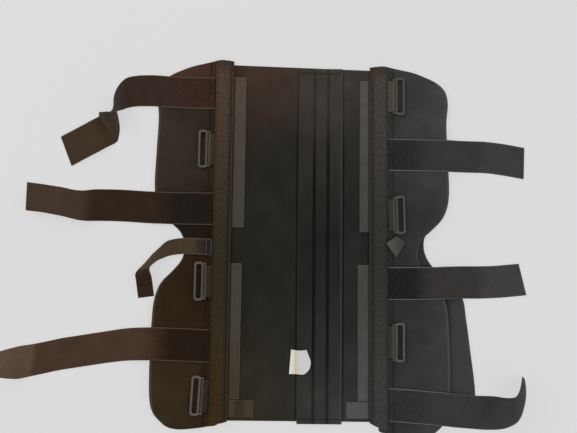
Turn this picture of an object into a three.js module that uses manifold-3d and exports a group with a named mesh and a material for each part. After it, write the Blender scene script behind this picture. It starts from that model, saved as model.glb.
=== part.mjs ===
// Knee immobilizer lying open with its outer face up, in millimetres, +Z up.
// The origin is on the underside of the base panel, midway along it and under the stay pocket.
// +X points to the right side panel, +Y to the calf end.
import * as THREE from "three";
import Module from "manifold-3d";
import { mergeVertices } from "three/addons/utils/BufferGeometryUtils.js";

const wasm = await Module();
wasm.setup();

// Driving dimensions
const GAP = 0.3; // clearance between pieces that touch on the real object
const FOAM_BEVEL = 1.2; // rounding of the foam edges
const BASE_THICKNESS = 5;
const WING_THICKNESS = 5;
const WING_SAG = 5; // how far a wing sinks where nothing carries it
const SAG_SPAN = 64; // overhang over which the sag comes in
const SAG_START = 6; // overhang that stays level
const POCKET_BULGE = 2.8;
const POCKET_EDGE = 1.2;
const POCKET_SEAMS = [-34.5, -9.5, 12, 34.5];
const POCKET_STEPS = [0, 0.06, 0.16, 0.5, 0.84, 0.94]; // columns across one channel
const POCKET_TOP = 274;
const POCKET_FOOT = -279; // its hem hangs a little past the base
const POCKET_HEM = 8;
const SLEEVE_WIDTH = 28;
const SLEEVE_TOP = 296; // from the knee notch's centre
const SLEEVE_END = { bevel: 3, height: 0.7 };
const WING_LAP = 13.7; // how far the wing reaches in under its sleeve
const STRAP_THICKNESS = 1.8;
const WIDE_STRAP = 50;
const NARROW_STRAP = 25;
const HOOK_THICKNESS = 1.7;
const HOOK_HIDDEN = 12; // part of a hook strip that runs under the sleeve

const RING = {
  length: 60,
  thickness: 3.2,
  outerBar: 3.5,
  slot: 7.6,
  slotLength: 52,
  middleBar: 3.3,
  pivotClear: 2.9, // from the captive bar's axis to the middle bar
  pivotRadius: 1.15,
  heel: 1.5, // rail past the captive bar's axis
  railOuter: 28, // the rails stand in from the loop's ends
  corner: 4.5,
  slotCorner: 2,
  bevel: 0.6,
  barSeat: 1.5, // how far the captive bar runs into each rail
  barSides: 10,
  curve: 3,
};
const KEEPER = { width: 49, wall: 1, eye: 1.45, neck: 4.2, wrap: 130, curve: 10 };
const LOOP = {
  x: -172,
  y: -10.6,
  length: 26,
  width: 9.4,
  bar: 2.1,
  thickness: 2,
  corner: 2,
  bevel: 0.4,
  curve: 2,
};

// Levels of the layers above the surface that the object lies on
const BASE_TOP = BASE_THICKNESS;
const ON_BASE = BASE_TOP + GAP;
const WING_TOP = ON_BASE + WING_THICKNESS;
const ON_WING = WING_TOP + GAP;
const STRAP_MID = ON_WING + STRAP_THICKNESS / 2;
const PIVOT_HEIGHT = ON_WING + KEEPER.eye + KEEPER.wall;
const OVER_HOOKS = ON_BASE + HOOK_THICKNESS + GAP;

// Base panel: half widths to the left and right at each station along Y; skew tips a station clockwise
const BASE_SECTIONS = [
  { along: 274.5, left: 150, right: 96, skew: 0.032 },
  { along: 270, left: 165, right: 118, skew: 0.028 },
  { along: 264, left: 172, right: 138, skew: 0.02 },
  { along: 255, left: 177, right: 158, skew: 0.01 },
  { along: 245, left: 180, right: 171 },
  { along: 232, left: 182, right: 180 },
  { along: 60, left: 184, right: 186 },
  { along: 36, left: 182, right: 182 },
  { along: 26, left: 177, right: 176.5 },
  { along: 16, left: 170, right: 169 },
  { along: 7, left: 163, right: 163 },
  { along: -5, left: 160.5, right: 161.5 },
  { along: -19, left: 163.8, right: 163.8 },
  { along: -34, left: 172, right: 172 },
  { along: -54, left: 192, right: 192 },
  { along: -69, left: 208, right: 208 },
  { along: -85, left: 221, right: 221 },
  { along: -119, left: 226.6, right: 226.6 },
  { along: -165, left: 232.3, right: 232.3 },
  { along: -232, left: 239.2, right: 239.2 },
  { along: -254, left: 237, right: 237 },
  { along: -266, left: 230, right: 230 },
  { along: -272, left: 220, right: 220 },
  { along: -275, left: 208, right: 208 },
];
const BASE_COLUMNS = [0, 0.012, 0.15, 0.3, 0.45, 0.55, 0.7, 0.85, 0.988, 1];

// Wing: start and reach outward from the sleeve's outer edge, at stations from the knee notch's centre
const WING_SECTIONS = [
  { along: 297.5, start: -WING_LAP, reach: -4 },
  { along: 295.5, start: -WING_LAP, reach: 4 },
  { along: 291.5, start: -WING_LAP, reach: 22 },
  { along: 287.4, start: -WING_LAP, reach: 41 },
  { along: 280, start: -WING_LAP, reach: 60 },
  { along: 276, start: -WING_LAP, reach: 69 },
  { along: 270.5, start: -WING_LAP, reach: 78.5 },
  { along: 259, start: -WING_LAP, reach: 90 },
  { along: 241, start: -WING_LAP, reach: 94.8 },
  { along: 206, start: -WING_LAP, reach: 92.4 },
  { along: 150, start: -WING_LAP, reach: 94.2 },
  { along: 95, start: -WING_LAP, reach: 95.5 },
  { along: 74, start: -WING_LAP, reach: 92.5 },
  { along: 55, start: -WING_LAP, reach: 84 },
  { along: 35, start: -WING_LAP, reach: 64.5 },
  { along: 24.8, start: -WING_LAP, reach: 53.8 },
  { along: 11.5, start: -WING_LAP, reach: 47.3 },
  { along: 0, start: -WING_LAP, reach: 46 },
  { along: -11.5, start: -WING_LAP, reach: 47.4 },
  { along: -22, start: -WING_LAP, reach: 52 },
  { along: -40, start: -WING_LAP, reach: 67.5 },
  { along: -50, start: -WING_LAP, reach: 77.5 },
  { along: -60, start: -WING_LAP, reach: 84 },
  { along: -80, start: -WING_LAP, reach: 90.5 },
  { along: -115, start: -WING_LAP, reach: 93.5 },
  { along: -233, start: -WING_LAP, reach: 93 },
  { along: -251, start: -WING_LAP, reach: 88 },
  { along: -260, start: -WING_LAP, reach: 81.5 },
  { along: -268, start: -WING_LAP, reach: 73 },
  { along: -271, start: 1, reach: 69 },
  { along: -274, start: 19, reach: 62 },
  { along: -276, start: 40, reach: 50 },
];
const WING_COLUMNS = [0, 0.03, 0.2, 0.4, 0.6, 0.8, 0.97, 1];

// Sleeve: its section from the inner edge outward, with a piped lip on the inner edge
const SLEEVE_SECTION = [
  { across: 0, under: OVER_HOOKS, over: 9.6 },
  { across: 1.4, under: OVER_HOOKS, over: 10.6 },
  { across: 3.4, under: OVER_HOOKS, over: 10.2 },
  { across: 4.4, under: OVER_HOOKS, over: 13.4 },
  { across: 8, under: OVER_HOOKS, over: 15.6 },
  { across: 13.6, under: OVER_HOOKS, over: 16.3 },
  { across: 14, under: ON_WING, over: 16.3 },
  { across: 20, under: ON_WING, over: 15.9 },
  { across: 25.5, under: ON_WING, over: 14.6 },
  { across: SLEEVE_WIDTH, under: ON_WING, over: 12 },
];

// The two side panels mirror each other; each is hooked on at its own place
const PANELS = [
  {
    name: "left",
    side: -1,
    inner: 138.9,
    reachTrim: -2.5,
    notch: -12,
    lean: THREE.MathUtils.degToRad(-0.3),
    sleeveFoot: { inner: -264, outer: -269 },
    hooks: [
      { name: "upper", high: 271, low: 33, shown: 19.9 },
      { name: "lower", high: -23, low: -230, shown: 17.9 },
    ],
    endTab: { high: -231, low: -257, shown: 40 },
    rings: [
      { along: 154.4, out: 7.8, turn: 0 },
      { along: -51.3, out: 9.4, turn: 0 },
      { along: -225, out: 10.2, turn: -2.5 },
    ],
  },
  {
    name: "right",
    side: 1,
    inner: 77,
    reachTrim: 0,
    notch: -20,
    lean: 0,
    sleeveFoot: { inner: -256, outer: -268.5 },
    hooks: [
      { name: "upper", high: 274.6, low: 35, shown: 15.5 },
      { name: "lower", high: -16, low: -224, shown: 18.2 },
    ],
    endTab: { high: -225, low: -250, shown: 35.5 },
    rings: [
      { along: 248.8, out: 9, turn: 0 },
      { along: 61.6, out: 9.4, turn: 1.5 },
      { along: -133.6, out: 8, turn: 0 },
    ],
  },
];

// Straps: centre of each cross line, its direction in plan (turn) and its slope (tilt), in degrees
const STRAPS = [
  {
    name: "left_strap_1",
    width: WIDE_STRAP,
    rows: [
      { x: -167.4, y: 231.5, z: STRAP_MID, turn: 91, tilt: 0 },
      { x: -190, y: 231.7, z: 11.6, turn: 91, tilt: 0 },
      { x: -206, y: 232, z: 11.2, turn: 91, tilt: 0 },
      { x: -225, y: 233, z: 9.6, turn: 91, tilt: 0 },
      { x: -241.5, y: 234, z: 8, turn: 91, tilt: 0 },
      { x: -256, y: 235.5, z: 6.7, turn: 92, tilt: 0 },
      { x: -275, y: 236.5, z: 3.6, turn: 92, tilt: 0 },
      { x: -291, y: 236, z: 3.2, turn: 94, tilt: -3 },
      { x: -307, y: 232, z: 5.2, turn: 98, tilt: -9 },
      { x: -317.5, y: 219, z: 15, turn: 110, tilt: -33 },
      { x: -323, y: 206, z: 22, turn: 112, tilt: -56.6 },
      { x: -323.6, y: 193, z: 25.4, turn: 32.2, tilt: -83.8 },
      { x: -326.2, y: 183, z: 23, turn: -46.8, tilt: -60.3 },
      { x: -331.6, y: 178.1, z: 14.6, turn: -54.8, tilt: -32.5 },
      { x: -336.8, y: 173.8, z: 3.2, turn: -58.6, tilt: -3.3 },
      { x: -350.7, y: 165, z: 6.2, turn: -63.9, tilt: 1.9 },
      { x: -401, y: 138.5, z: 1.4, turn: -68, tilt: 0 },
    ],
  },
  {
    name: "left_strap_2",
    width: WIDE_STRAP,
    rows: [
      { x: -167.4, y: 49, z: STRAP_MID, turn: -90, tilt: 0 },
      { x: -188, y: 49, z: 11.6, turn: -90, tilt: 0 },
      { x: -206, y: 49.1, z: 11.1, turn: -90, tilt: 0 },
      { x: -225, y: 49.4, z: 9.6, turn: -90, tilt: 0 },
      { x: -243, y: 49.8, z: 8, turn: -89, tilt: 0 },
      { x: -260, y: 50.4, z: 6.6, turn: -89, tilt: 0 },
      { x: -282, y: 51.8, z: 2.8, turn: -89, tilt: 0 },
      { x: -314, y: 53.6, z: 1.6, turn: -88, tilt: 0 },
      { x: -348, y: 53.8, z: 2.6, turn: -88, tilt: 1 },
      { x: -374, y: 52.6, z: 9.2, turn: -84, tilt: 16 },
      { x: -405, y: 58.6, z: 10.4, turn: -81, tilt: 20 },
      { x: -433, y: 63.2, z: 10.6, turn: -80, tilt: 21 },
      { x: -457.6, y: 66, z: 11.2, turn: -82, tilt: 22 },
    ],
  },
  {
    name: "left_strap_3",
    width: WIDE_STRAP,
    rows: [
      { x: -168.4, y: -161.8, z: STRAP_MID, turn: -89, tilt: 0 },
      { x: -213, y: -160.3, z: STRAP_MID, turn: -89, tilt: 0 },
      { x: -240, y: -159.5, z: 11.5, turn: -89, tilt: 0 },
      { x: -263, y: -159.6, z: 10.6, turn: -90, tilt: 0 },
      { x: -280, y: -160.3, z: 6.6, turn: -92, tilt: 0 },
      { x: -304, y: -162.4, z: 1.8, turn: -95, tilt: 0 },
      { x: -363, y: -171.6, z: 1.4, turn: -97, tilt: 0 },
      { x: -400, y: -177.8, z: 1.4, turn: -97, tilt: 0 },
      { x: -434, y: -185.2, z: 1.7, turn: -96, tilt: 0.5 },
      { x: -455, y: -189.2, z: 4.4, turn: -92, tilt: 7 },
      { x: -470, y: -190.6, z: 12.6, turn: -79, tilt: 28 },
      { x: -492, y: -192, z: 19.8, turn: -63, tilt: 47 },
    ],
  },
  {
    name: "knee_strap",
    width: NARROW_STRAP,
    rows: [
      { x: -167.2, y: -10.6, z: STRAP_MID, turn: -90, tilt: 0 },
      { x: -186, y: -9.6, z: STRAP_MID, turn: -90, tilt: 0 },
      { x: -204, y: -9.2, z: 10.4, turn: -89, tilt: 0 },
      { x: -221, y: -10, z: 8.6, turn: -90, tilt: 0 },
      { x: -237.1, y: -13.5, z: 7, turn: -93.3, tilt: -0.3 },
      { x: -248.6, y: -21, z: 9.7, turn: -89.3, tilt: 36.5 },
      { x: -260.6, y: -32.1, z: 13.1, turn: -87.5, tilt: 45.7 },
      { x: -266.7, y: -40.1, z: 13.3, turn: -29.3, tilt: 58.1 },
      { x: -273, y: -48.9, z: 15.4, turn: 16, tilt: 20.6 },
      { x: -270, y: -59.8, z: 19.3, turn: 13.5, tilt: 7.7 },
      { x: -269.2, y: -88.4, z: 1.5, turn: 8, tilt: 0 },
    ],
  },
  {
    name: "right_strap_1",
    width: WIDE_STRAP,
    rows: [
      { x: 106, y: 136.4, z: STRAP_MID, turn: -90, tilt: 0 },
      { x: 155, y: 135.8, z: STRAP_MID, turn: -90, tilt: 0 },
      { x: 188, y: 135.4, z: STRAP_MID, turn: -90, tilt: 0 },
      { x: 203, y: 135.3, z: 10.8, turn: -90, tilt: 0 },
      { x: 218, y: 135.3, z: 6.8, turn: -90, tilt: 0 },
      { x: 236, y: 135.5, z: 2.6, turn: -90, tilt: 0 },
      { x: 258, y: 135.2, z: 1.4, turn: -91, tilt: 0 },
      { x: 282, y: 132.6, z: 1.4, turn: -93, tilt: 0 },
      { x: 321, y: 126, z: 1.4, turn: -92, tilt: 0 },
    ],
  },
  {
    name: "right_strap_2",
    width: WIDE_STRAP,
    rows: [
      { x: 106, y: -64, z: STRAP_MID, turn: -90, tilt: 0 },
      { x: 154, y: -63.6, z: STRAP_MID, turn: -90, tilt: 0 },
      { x: 188, y: -62.6, z: STRAP_MID, turn: -90, tilt: 0 },
      { x: 202, y: -62, z: 10.2, turn: -90, tilt: 0 },
      { x: 218, y: -61.5, z: 7.2, turn: -90, tilt: 0 },
      { x: 229, y: -61.3, z: 5.4, turn: -90, tilt: 0 },
      { x: 246, y: -61.2, z: 2.2, turn: -90, tilt: 0 },
      { x: 280, y: -59.6, z: 1.4, turn: -87, tilt: 0 },
      { x: 315.6, y: -56, z: 1.4, turn: -77, tilt: 0 },
    ],
  },
  {
    name: "right_strap_3",
    width: WIDE_STRAP,
    rows: [
      { x: 106, y: -247.6, z: STRAP_MID, turn: -90, tilt: 0 },
      { x: 153, y: -250.7, z: STRAP_MID, turn: -92, tilt: 0 },
      { x: 198, y: -254.5, z: STRAP_MID, turn: -92, tilt: 0 },
      { x: 212, y: -256, z: 9.8, turn: -92, tilt: 0 },
      { x: 227, y: -257.6, z: 7.3, turn: -93, tilt: 0 },
      { x: 244, y: -258.8, z: 6.4, turn: -94, tilt: 2 },
      { x: 264, y: -258.8, z: 8.4, turn: -97, tilt: 16 },
      { x: 284, y: -256.4, z: 17.4, turn: -103, tilt: 40 },
      { x: 297, y: -250, z: 22, turn: -109, tilt: 56 },
      { x: 303.5, y: -234, z: 25.6, turn: -130, tilt: 74 },
      { x: 306.5, y: -218, z: 25.8, turn: -157, tilt: 77 },
      { x: 306.7, y: -203.5, z: 25.4, turn: -192, tilt: 74 },
    ],
  },
];
const STRAP_STEPS = 2; // facets between two rows of a strap
const STRAP_COLUMNS = [-0.5, 0, 0.5];

// Knee tab: a folded kite of strap whose left corner lies up on the right sleeve
const KNEE_TAB = { middle: { x: 117.5, y: -6, z: 14.1 }, slope: 9.7, thickness: 1.8 };
const KNEE_TAB_CORNERS = [
  { x: 0.5, y: 14.4 },
  { x: -16.4, y: 4 },
  { x: 0, y: -18.4 },
  { x: 14, y: 5.6 },
];

// Label: left and right edges at stations along Y; it laps over the pocket's left seam
const LABEL_THICKNESS = 1;
const LABEL_SECTIONS = [
  { along: -166.4, left: -43.4, right: -20 },
  { along: -175, left: -44.1, right: -16.4 },
  { along: -184.7, left: -44.8, right: -13.2 },
  { along: -194.7, left: -45.6, right: -15.1 },
  { along: -200, left: -46, right: -19 },
  { along: -203.6, left: -46.2, right: -24 },
];
const LABEL_COLUMNS = [0, 0.14, 0.24, 0.3, 0.36, 0.42, 0.5, 0.6, 0.75, 0.9, 1];

// Finishes
const finish = (color, roughness, metalness = 0) =>
  new THREE.MeshStandardMaterial({ color, roughness, metalness });
const FINISHES = {
  foam: () => finish(0x2b2a29, 0.95),
  wing: () => finish(0x353331, 0.95),
  webbing: () => finish(0x3a352c, 0.85),
  hook: () => finish(0x44423e, 0.8),
  strap: () => finish(0x302a27, 0.92),
  metal: () => finish(0x2c2b2a, 0.3, 0.7),
  label: () => finish(0xe8e6e0, 0.8),
};

const vector = (x, y, z) => new THREE.Vector3(x, y, z);
const mix = THREE.MathUtils.lerp;

function volumeOf(points, faces) {
  let total = 0;
  for (let i = 0; i < faces.length; i += 3) {
    const [a, b, c] = [points[faces[i]], points[faces[i + 1]], points[faces[i + 2]]];
    total += a.dot(b.clone().cross(c)) / 6;
  }
  return total;
}

// A closed sheet between an upper and a lower grid of points
function slab(upper, lower) {
  const rows = upper.length;
  const columns = upper[0].length;
  const points = [...upper.flat(), ...lower.flat()];
  const at = (level, row, column) => (level * rows + row) * columns + column;
  const faces = [];
  const quad = (a, b, c, d) => faces.push(a, b, c, a, c, d);
  for (let r = 0; r < rows - 1; r++) {
    for (let c = 0; c < columns - 1; c++) {
      quad(at(0, r, c), at(0, r, c + 1), at(0, r + 1, c + 1), at(0, r + 1, c));
      quad(at(1, r, c), at(1, r + 1, c), at(1, r + 1, c + 1), at(1, r, c + 1));
    }
  }
  const wall = (r0, c0, r1, c1) => quad(at(0, r0, c0), at(1, r0, c0), at(1, r1, c1), at(0, r1, c1));
  for (let c = 0; c < columns - 1; c++) {
    wall(0, c, 0, c + 1);
    wall(rows - 1, c + 1, rows - 1, c);
  }
  for (let r = 0; r < rows - 1; r++) {
    wall(r + 1, 0, r, 0);
    wall(r, columns - 1, r + 1, columns - 1);
  }
  if (volumeOf(points, faces) < 0) {
    faces.reverse();
  }
  const geometry = new THREE.BufferGeometry().setFromPoints(points);
  geometry.setIndex(faces);
  return geometry;
}

// A sheet whose level and thickness come from functions of a point in plan, with bevelled edges
function panel(grid, underside, thickness) {
  const lastRow = grid.length - 1;
  const upper = [];
  const lower = [];
  grid.forEach((row, r) => {
    const lastColumn = row.length - 1;
    const onRim = (c) => r === 0 || r === lastRow || c === 0 || c === lastColumn;
    const inset = (c) => (onRim(c) ? FOAM_BEVEL : 0);
    lower.push(row.map(([x, y], c) => vector(x, y, underside(x, y) + inset(c))));
    upper.push(row.map(([x, y], c) => vector(x, y, underside(x, y) + thickness - inset(c))));
  });
  return slab(upper, lower);
}

function toManifold(geometry) {
  const bare = geometry.clone();
  bare.deleteAttribute("normal");
  bare.deleteAttribute("uv");
  const merged = mergeVertices(bare, 1e-4);
  const vertProperties = new Float32Array(merged.attributes.position.array);
  const triVerts = new Uint32Array(merged.index.array);
  return new wasm.Manifold(new wasm.Mesh({ numProp: 3, vertProperties, triVerts }));
}

function fromManifold(solid) {
  const { vertProperties, triVerts } = solid.getMesh();
  const geometry = new THREE.BufferGeometry();
  geometry.setAttribute("position", new THREE.BufferAttribute(vertProperties, 3));
  geometry.setIndex(new THREE.BufferAttribute(triVerts, 1));
  return geometry;
}

function mesh(name, geometry, look) {
  const made = new THREE.Mesh(geometry, FINISHES[look]());
  made.name = name;
  return made;
}

// Base panel and what is sewn to it
function baseEdge(y, column) {
  const next = BASE_SECTIONS.findIndex((s) => s.along <= y);
  if (next <= 0) {
    return BASE_SECTIONS.at(next)[column];
  }
  const [above, below] = [BASE_SECTIONS[next - 1], BASE_SECTIONS[next]];
  return mix(above[column], below[column], (above.along - y) / (above.along - below.along));
}

function basePanel() {
  const grid = BASE_SECTIONS.map(({ along, left, right, skew = 0 }) =>
    BASE_COLUMNS.map((f) => {
      const x = mix(-left, right, f);
      return [x, along - skew * x];
    }),
  );
  return mesh("base_panel", panel(grid, () => 0, BASE_THICKNESS), "foam");
}

function pocketTop(x) {
  const flat = ON_BASE + POCKET_EDGE;
  const channel = POCKET_SEAMS.findIndex((seam, i) => i > 0 && x <= seam);
  if (channel < 1 || x <= POCKET_SEAMS[0]) {
    return flat;
  }
  const [from, to] = [POCKET_SEAMS[channel - 1], POCKET_SEAMS[channel]];
  const across = (2 * (x - from)) / (to - from) - 1;
  return flat + POCKET_BULGE * (1 - across ** 4);
}

function stayPocket() {
  const ends = [POCKET_TOP, POCKET_TOP - POCKET_HEM, POCKET_FOOT + POCKET_HEM, POCKET_FOOT];
  const columns = POCKET_SEAMS.slice(0, -1).flatMap((from, i) =>
    POCKET_STEPS.map((f) => mix(from, POCKET_SEAMS[i + 1], f)),
  );
  columns.push(POCKET_SEAMS.at(-1));
  const hem = ON_BASE + POCKET_EDGE;
  const isEnd = (r) => r === 0 || r === ends.length - 1;
  const upper = ends.map((y, r) => columns.map((x) => vector(x, y, isEnd(r) ? hem : pocketTop(x))));
  const lower = ends.map((y) => columns.map((x) => vector(x, y, ON_BASE)));
  return mesh("stay_pocket", slab(upper, lower), "foam");
}

function label() {
  const climb = 4; // the label rises to the pocket over this width
  const seat = (x) => {
    const onPocket = x > POCKET_SEAMS[0] - climb;
    return (onPocket ? Math.max(pocketTop(x), pocketTop(x + climb)) : BASE_TOP) + 2 * GAP;
  };
  const place = (lift) =>
    LABEL_SECTIONS.map(({ along, left, right }) =>
      LABEL_COLUMNS.map((f) => {
        const x = mix(left, right, f);
        return vector(x, along, seat(x) + lift);
      }),
    );
  return mesh("label", slab(place(LABEL_THICKNESS), place(0)), "label");
}

// Side panels
function wing(spec) {
  const toWorld = (x) => Math.abs(x) + spec.inner;
  const sag = (x, y) => {
    const overhang = toWorld(x) - baseEdge(y + spec.notch, spec.name) - SAG_START;
    return WING_SAG * THREE.MathUtils.smoothstep(overhang / SAG_SPAN, 0, 1);
  };
  const grid = WING_SECTIONS.map(({ along, start, reach }) => {
    const end = reach + spec.reachTrim;
    return WING_COLUMNS.map((f) => [spec.side * (SLEEVE_WIDTH + mix(start, end, f)), along]);
  });
  const underside = (x, y) => ON_BASE - sag(x, y);
  return mesh(`${spec.name}_wing`, panel(grid, underside, WING_THICKNESS), "wing");
}

function sleeve(spec) {
  const foot = (across) => mix(spec.sleeveFoot.inner, spec.sleeveFoot.outer, across / SLEEVE_WIDTH);
  const stations = [
    { at: () => SLEEVE_TOP, height: SLEEVE_END.height },
    { at: () => SLEEVE_TOP - SLEEVE_END.bevel, height: 1 },
    { at: (across) => foot(across) + SLEEVE_END.bevel, height: 1 },
    { at: foot, height: SLEEVE_END.height },
  ];
  const place = ({ across }, station, z) => vector(spec.side * across, station.at(across), z);
  const upper = stations.map((s) =>
    SLEEVE_SECTION.map((p) => place(p, s, mix(p.under, p.over, s.height))),
  );
  const lower = stations.map((s) => SLEEVE_SECTION.map((p) => place(p, s, p.under)));
  return mesh(`${spec.name}_stay_sleeve`, slab(upper, lower), "webbing");
}

// A flat strip hooked to the base: part of it shows beside the sleeve, part runs under the sleeve
function strip(spec, name, { high, low, shown }) {
  const width = shown + HOOK_HIDDEN;
  const made = mesh(name, new THREE.BoxGeometry(width, high - low, HOOK_THICKNESS), "hook");
  const middle = HOOK_HIDDEN - width / 2;
  made.position.set(spec.side * middle, (high + low) / 2, ON_BASE + HOOK_THICKNESS / 2);
  return made;
}

function roundedRectangle(path, x0, y0, x1, y1, radius) {
  const quarter = Math.PI / 2;
  path.absarc(x1 - radius, y1 - radius, radius, 0, quarter);
  path.absarc(x0 + radius, y1 - radius, radius, quarter, 2 * quarter);
  path.absarc(x0 + radius, y0 + radius, radius, 2 * quarter, 3 * quarter);
  path.absarc(x1 - radius, y0 + radius, radius, 3 * quarter, 4 * quarter);
  path.closePath();
  return path;
}

function bevelled(shape, thickness, bevel, curveSegments) {
  const geometry = new THREE.ExtrudeGeometry(shape, {
    depth: thickness - 2 * bevel,
    bevelThickness: bevel,
    bevelSize: bevel,
    bevelOffset: -bevel,
    bevelSegments: 1,
    curveSegments,
  });
  return geometry.translate(0, 0, bevel - thickness / 2);
}

// A three-bar ring lying in XY: its captive bar is the Y axis and its slot lies outward
function ringGeometry() {
  const half = RING.length / 2;
  const slotStart = RING.pivotClear + RING.middleBar;
  const slotEnd = slotStart + RING.slot;
  const outer = slotEnd + RING.outerBar;
  const railInner = KEEPER.width / 2 + 2 * GAP;
  const quarter = Math.PI / 2;
  const cornerEnd = half - RING.corner;
  const near = RING.pivotClear + RING.corner;
  const far = outer - RING.corner;
  const join = Math.asin((RING.railOuter - cornerEnd) / RING.corner);
  const frame = new THREE.Shape();
  frame.moveTo(-RING.heel, -RING.railOuter);
  frame.absarc(near, -cornerEnd, RING.corner, join - 2 * quarter, -quarter);
  frame.absarc(far, -cornerEnd, RING.corner, -quarter, 0);
  frame.absarc(far, cornerEnd, RING.corner, 0, quarter);
  frame.absarc(near, cornerEnd, RING.corner, quarter, 2 * quarter - join);
  frame.lineTo(-RING.heel, RING.railOuter);
  frame.lineTo(-RING.heel, railInner);
  frame.lineTo(RING.pivotClear, railInner);
  frame.lineTo(RING.pivotClear, -railInner);
  frame.lineTo(-RING.heel, -railInner);
  frame.closePath();
  const slot = new THREE.Path();
  const slotHalf = RING.slotLength / 2;
  frame.holes.push(roundedRectangle(slot, slotStart, -slotHalf, slotEnd, slotHalf, RING.slotCorner));
  const body = toManifold(bevelled(frame, RING.thickness, RING.bevel, RING.curve));
  const barLength = 2 * (railInner + RING.barSeat);
  const bar = new THREE.CylinderGeometry(RING.pivotRadius, RING.pivotRadius, barLength, RING.barSides);
  return fromManifold(body.add(toManifold(bar)));
}

// The keeper: webbing folded round the captive bar and sewn down beside the sleeve
function keeperGeometry(reachBack) {
  const outer = KEEPER.eye + KEEPER.wall;
  const stemTop = -outer + 2 * KEEPER.wall + GAP;
  const wrap = THREE.MathUtils.degToRad(KEEPER.wrap);
  const outline = new THREE.Shape();
  outline.moveTo(-reachBack, -outer);
  outline.absarc(0, 0, outer, -Math.PI / 2, wrap);
  outline.lineTo(-KEEPER.neck, stemTop);
  outline.lineTo(-reachBack, stemTop);
  outline.closePath();
  const eye = new THREE.Path();
  eye.absarc(0, 0, KEEPER.eye, 0, 2 * Math.PI);
  outline.holes.push(eye);
  const geometry = new THREE.ExtrudeGeometry(outline, {
    depth: KEEPER.width,
    bevelEnabled: false,
    curveSegments: KEEPER.curve,
  });
  return geometry.rotateX(Math.PI / 2).translate(0, KEEPER.width / 2, 0);
}

function ringAndKeeper(spec, place, number) {
  const pair = new THREE.Group();
  const facing = spec.side < 0 ? Math.PI : 0;
  pair.position.set(spec.side * (SLEEVE_WIDTH + place.out), place.along, PIVOT_HEIGHT);
  pair.rotation.z = facing + THREE.MathUtils.degToRad(place.turn);
  const turnRoom = (KEEPER.width / 2) * Math.abs(Math.tan(THREE.MathUtils.degToRad(place.turn)));
  const reachBack = place.out - GAP - turnRoom;
  pair.add(mesh(`${spec.name}_keeper_${number}`, keeperGeometry(reachBack), "webbing"));
  pair.add(mesh(`${spec.name}_ring_${number}`, ringGeometry(), "metal"));
  return pair;
}

function sidePanel(spec) {
  const group = new THREE.Group();
  group.position.set(spec.side * spec.inner, spec.notch, 0);
  group.rotation.z = spec.lean;
  group.add(wing(spec), sleeve(spec));
  for (const hook of spec.hooks) {
    group.add(strip(spec, `${spec.name}_${hook.name}_hook_strip`, hook));
  }
  group.add(strip(spec, `${spec.name}_end_tab`, spec.endTab));
  spec.rings.forEach((place, i) => group.add(ringAndKeeper(spec, place, i + 1)));
  return group;
}

// Straps and the small pieces at the knee
function strap({ name, width, rows }) {
  const centres = new THREE.CatmullRomCurve3(rows.map(({ x, y, z }) => vector(x, y, z)));
  const across = new THREE.CatmullRomCurve3(
    rows.map(({ turn, tilt }) => {
      const [a, e] = [turn, tilt].map(THREE.MathUtils.degToRad);
      return vector(Math.cos(a) * Math.cos(e), Math.sin(a) * Math.cos(e), Math.sin(e));
    }),
    false,
    "catmullrom",
  );
  const count = (rows.length - 1) * STRAP_STEPS;
  const upper = [];
  const lower = [];
  for (let i = 0; i <= count; i++) {
    const centre = centres.getPoint(i / count);
    const side = across.getPoint(i / count).normalize();
    const normal = centres.getTangent(i / count).cross(side).normalize();
    const at = (f, level) =>
      centre.clone().addScaledVector(side, f * width).addScaledVector(normal, level * STRAP_THICKNESS);
    upper.push(STRAP_COLUMNS.map((f) => at(f, 0.5)));
    lower.push(STRAP_COLUMNS.map((f) => at(f, -0.5)));
  }
  return mesh(name, slab(upper, lower), "strap");
}

function kneeTab() {
  const { middle, slope, thickness } = KNEE_TAB;
  const outline = new THREE.Shape(KNEE_TAB_CORNERS.map(({ x, y }) => new THREE.Vector2(x, y)));
  const geometry = new THREE.ExtrudeGeometry(outline, { depth: thickness, bevelEnabled: false });
  const made = mesh("knee_tab", geometry.translate(0, 0, -thickness / 2), "hook");
  made.position.set(middle.x, middle.y, middle.z);
  made.rotation.y = THREE.MathUtils.degToRad(slope);
  return made;
}

// The small wire loop that lies over the root of the narrow knee strap
function kneeLoop() {
  const { x, y, length, width, bar, thickness, corner, bevel, curve } = LOOP;
  const outline = roundedRectangle(new THREE.Shape(), -width / 2, -length / 2, width / 2, length / 2, corner);
  const inside = [-width / 2 + bar, -length / 2 + bar, width / 2 - bar, length / 2 - bar];
  outline.holes.push(roundedRectangle(new THREE.Path(), ...inside, corner / 2));
  const made = mesh("knee_loop", bevelled(outline, thickness, bevel, curve), "metal");
  made.position.set(x, y, ON_WING + STRAP_THICKNESS + GAP + thickness / 2);
  return made;
}

const immobilizer = new THREE.Group();
immobilizer.add(basePanel(), stayPocket(), label());
immobilizer.add(...PANELS.map(sidePanel));
immobilizer.add(...STRAPS.map(strap));
immobilizer.add(kneeTab(), kneeLoop());

export default immobilizer;
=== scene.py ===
# Looks of a knee immobilizer that lies open with its outer face up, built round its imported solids.
import math
from functools import partial

import bpy
import numpy as np
from mathutils import Matrix, Vector, noise


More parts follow.
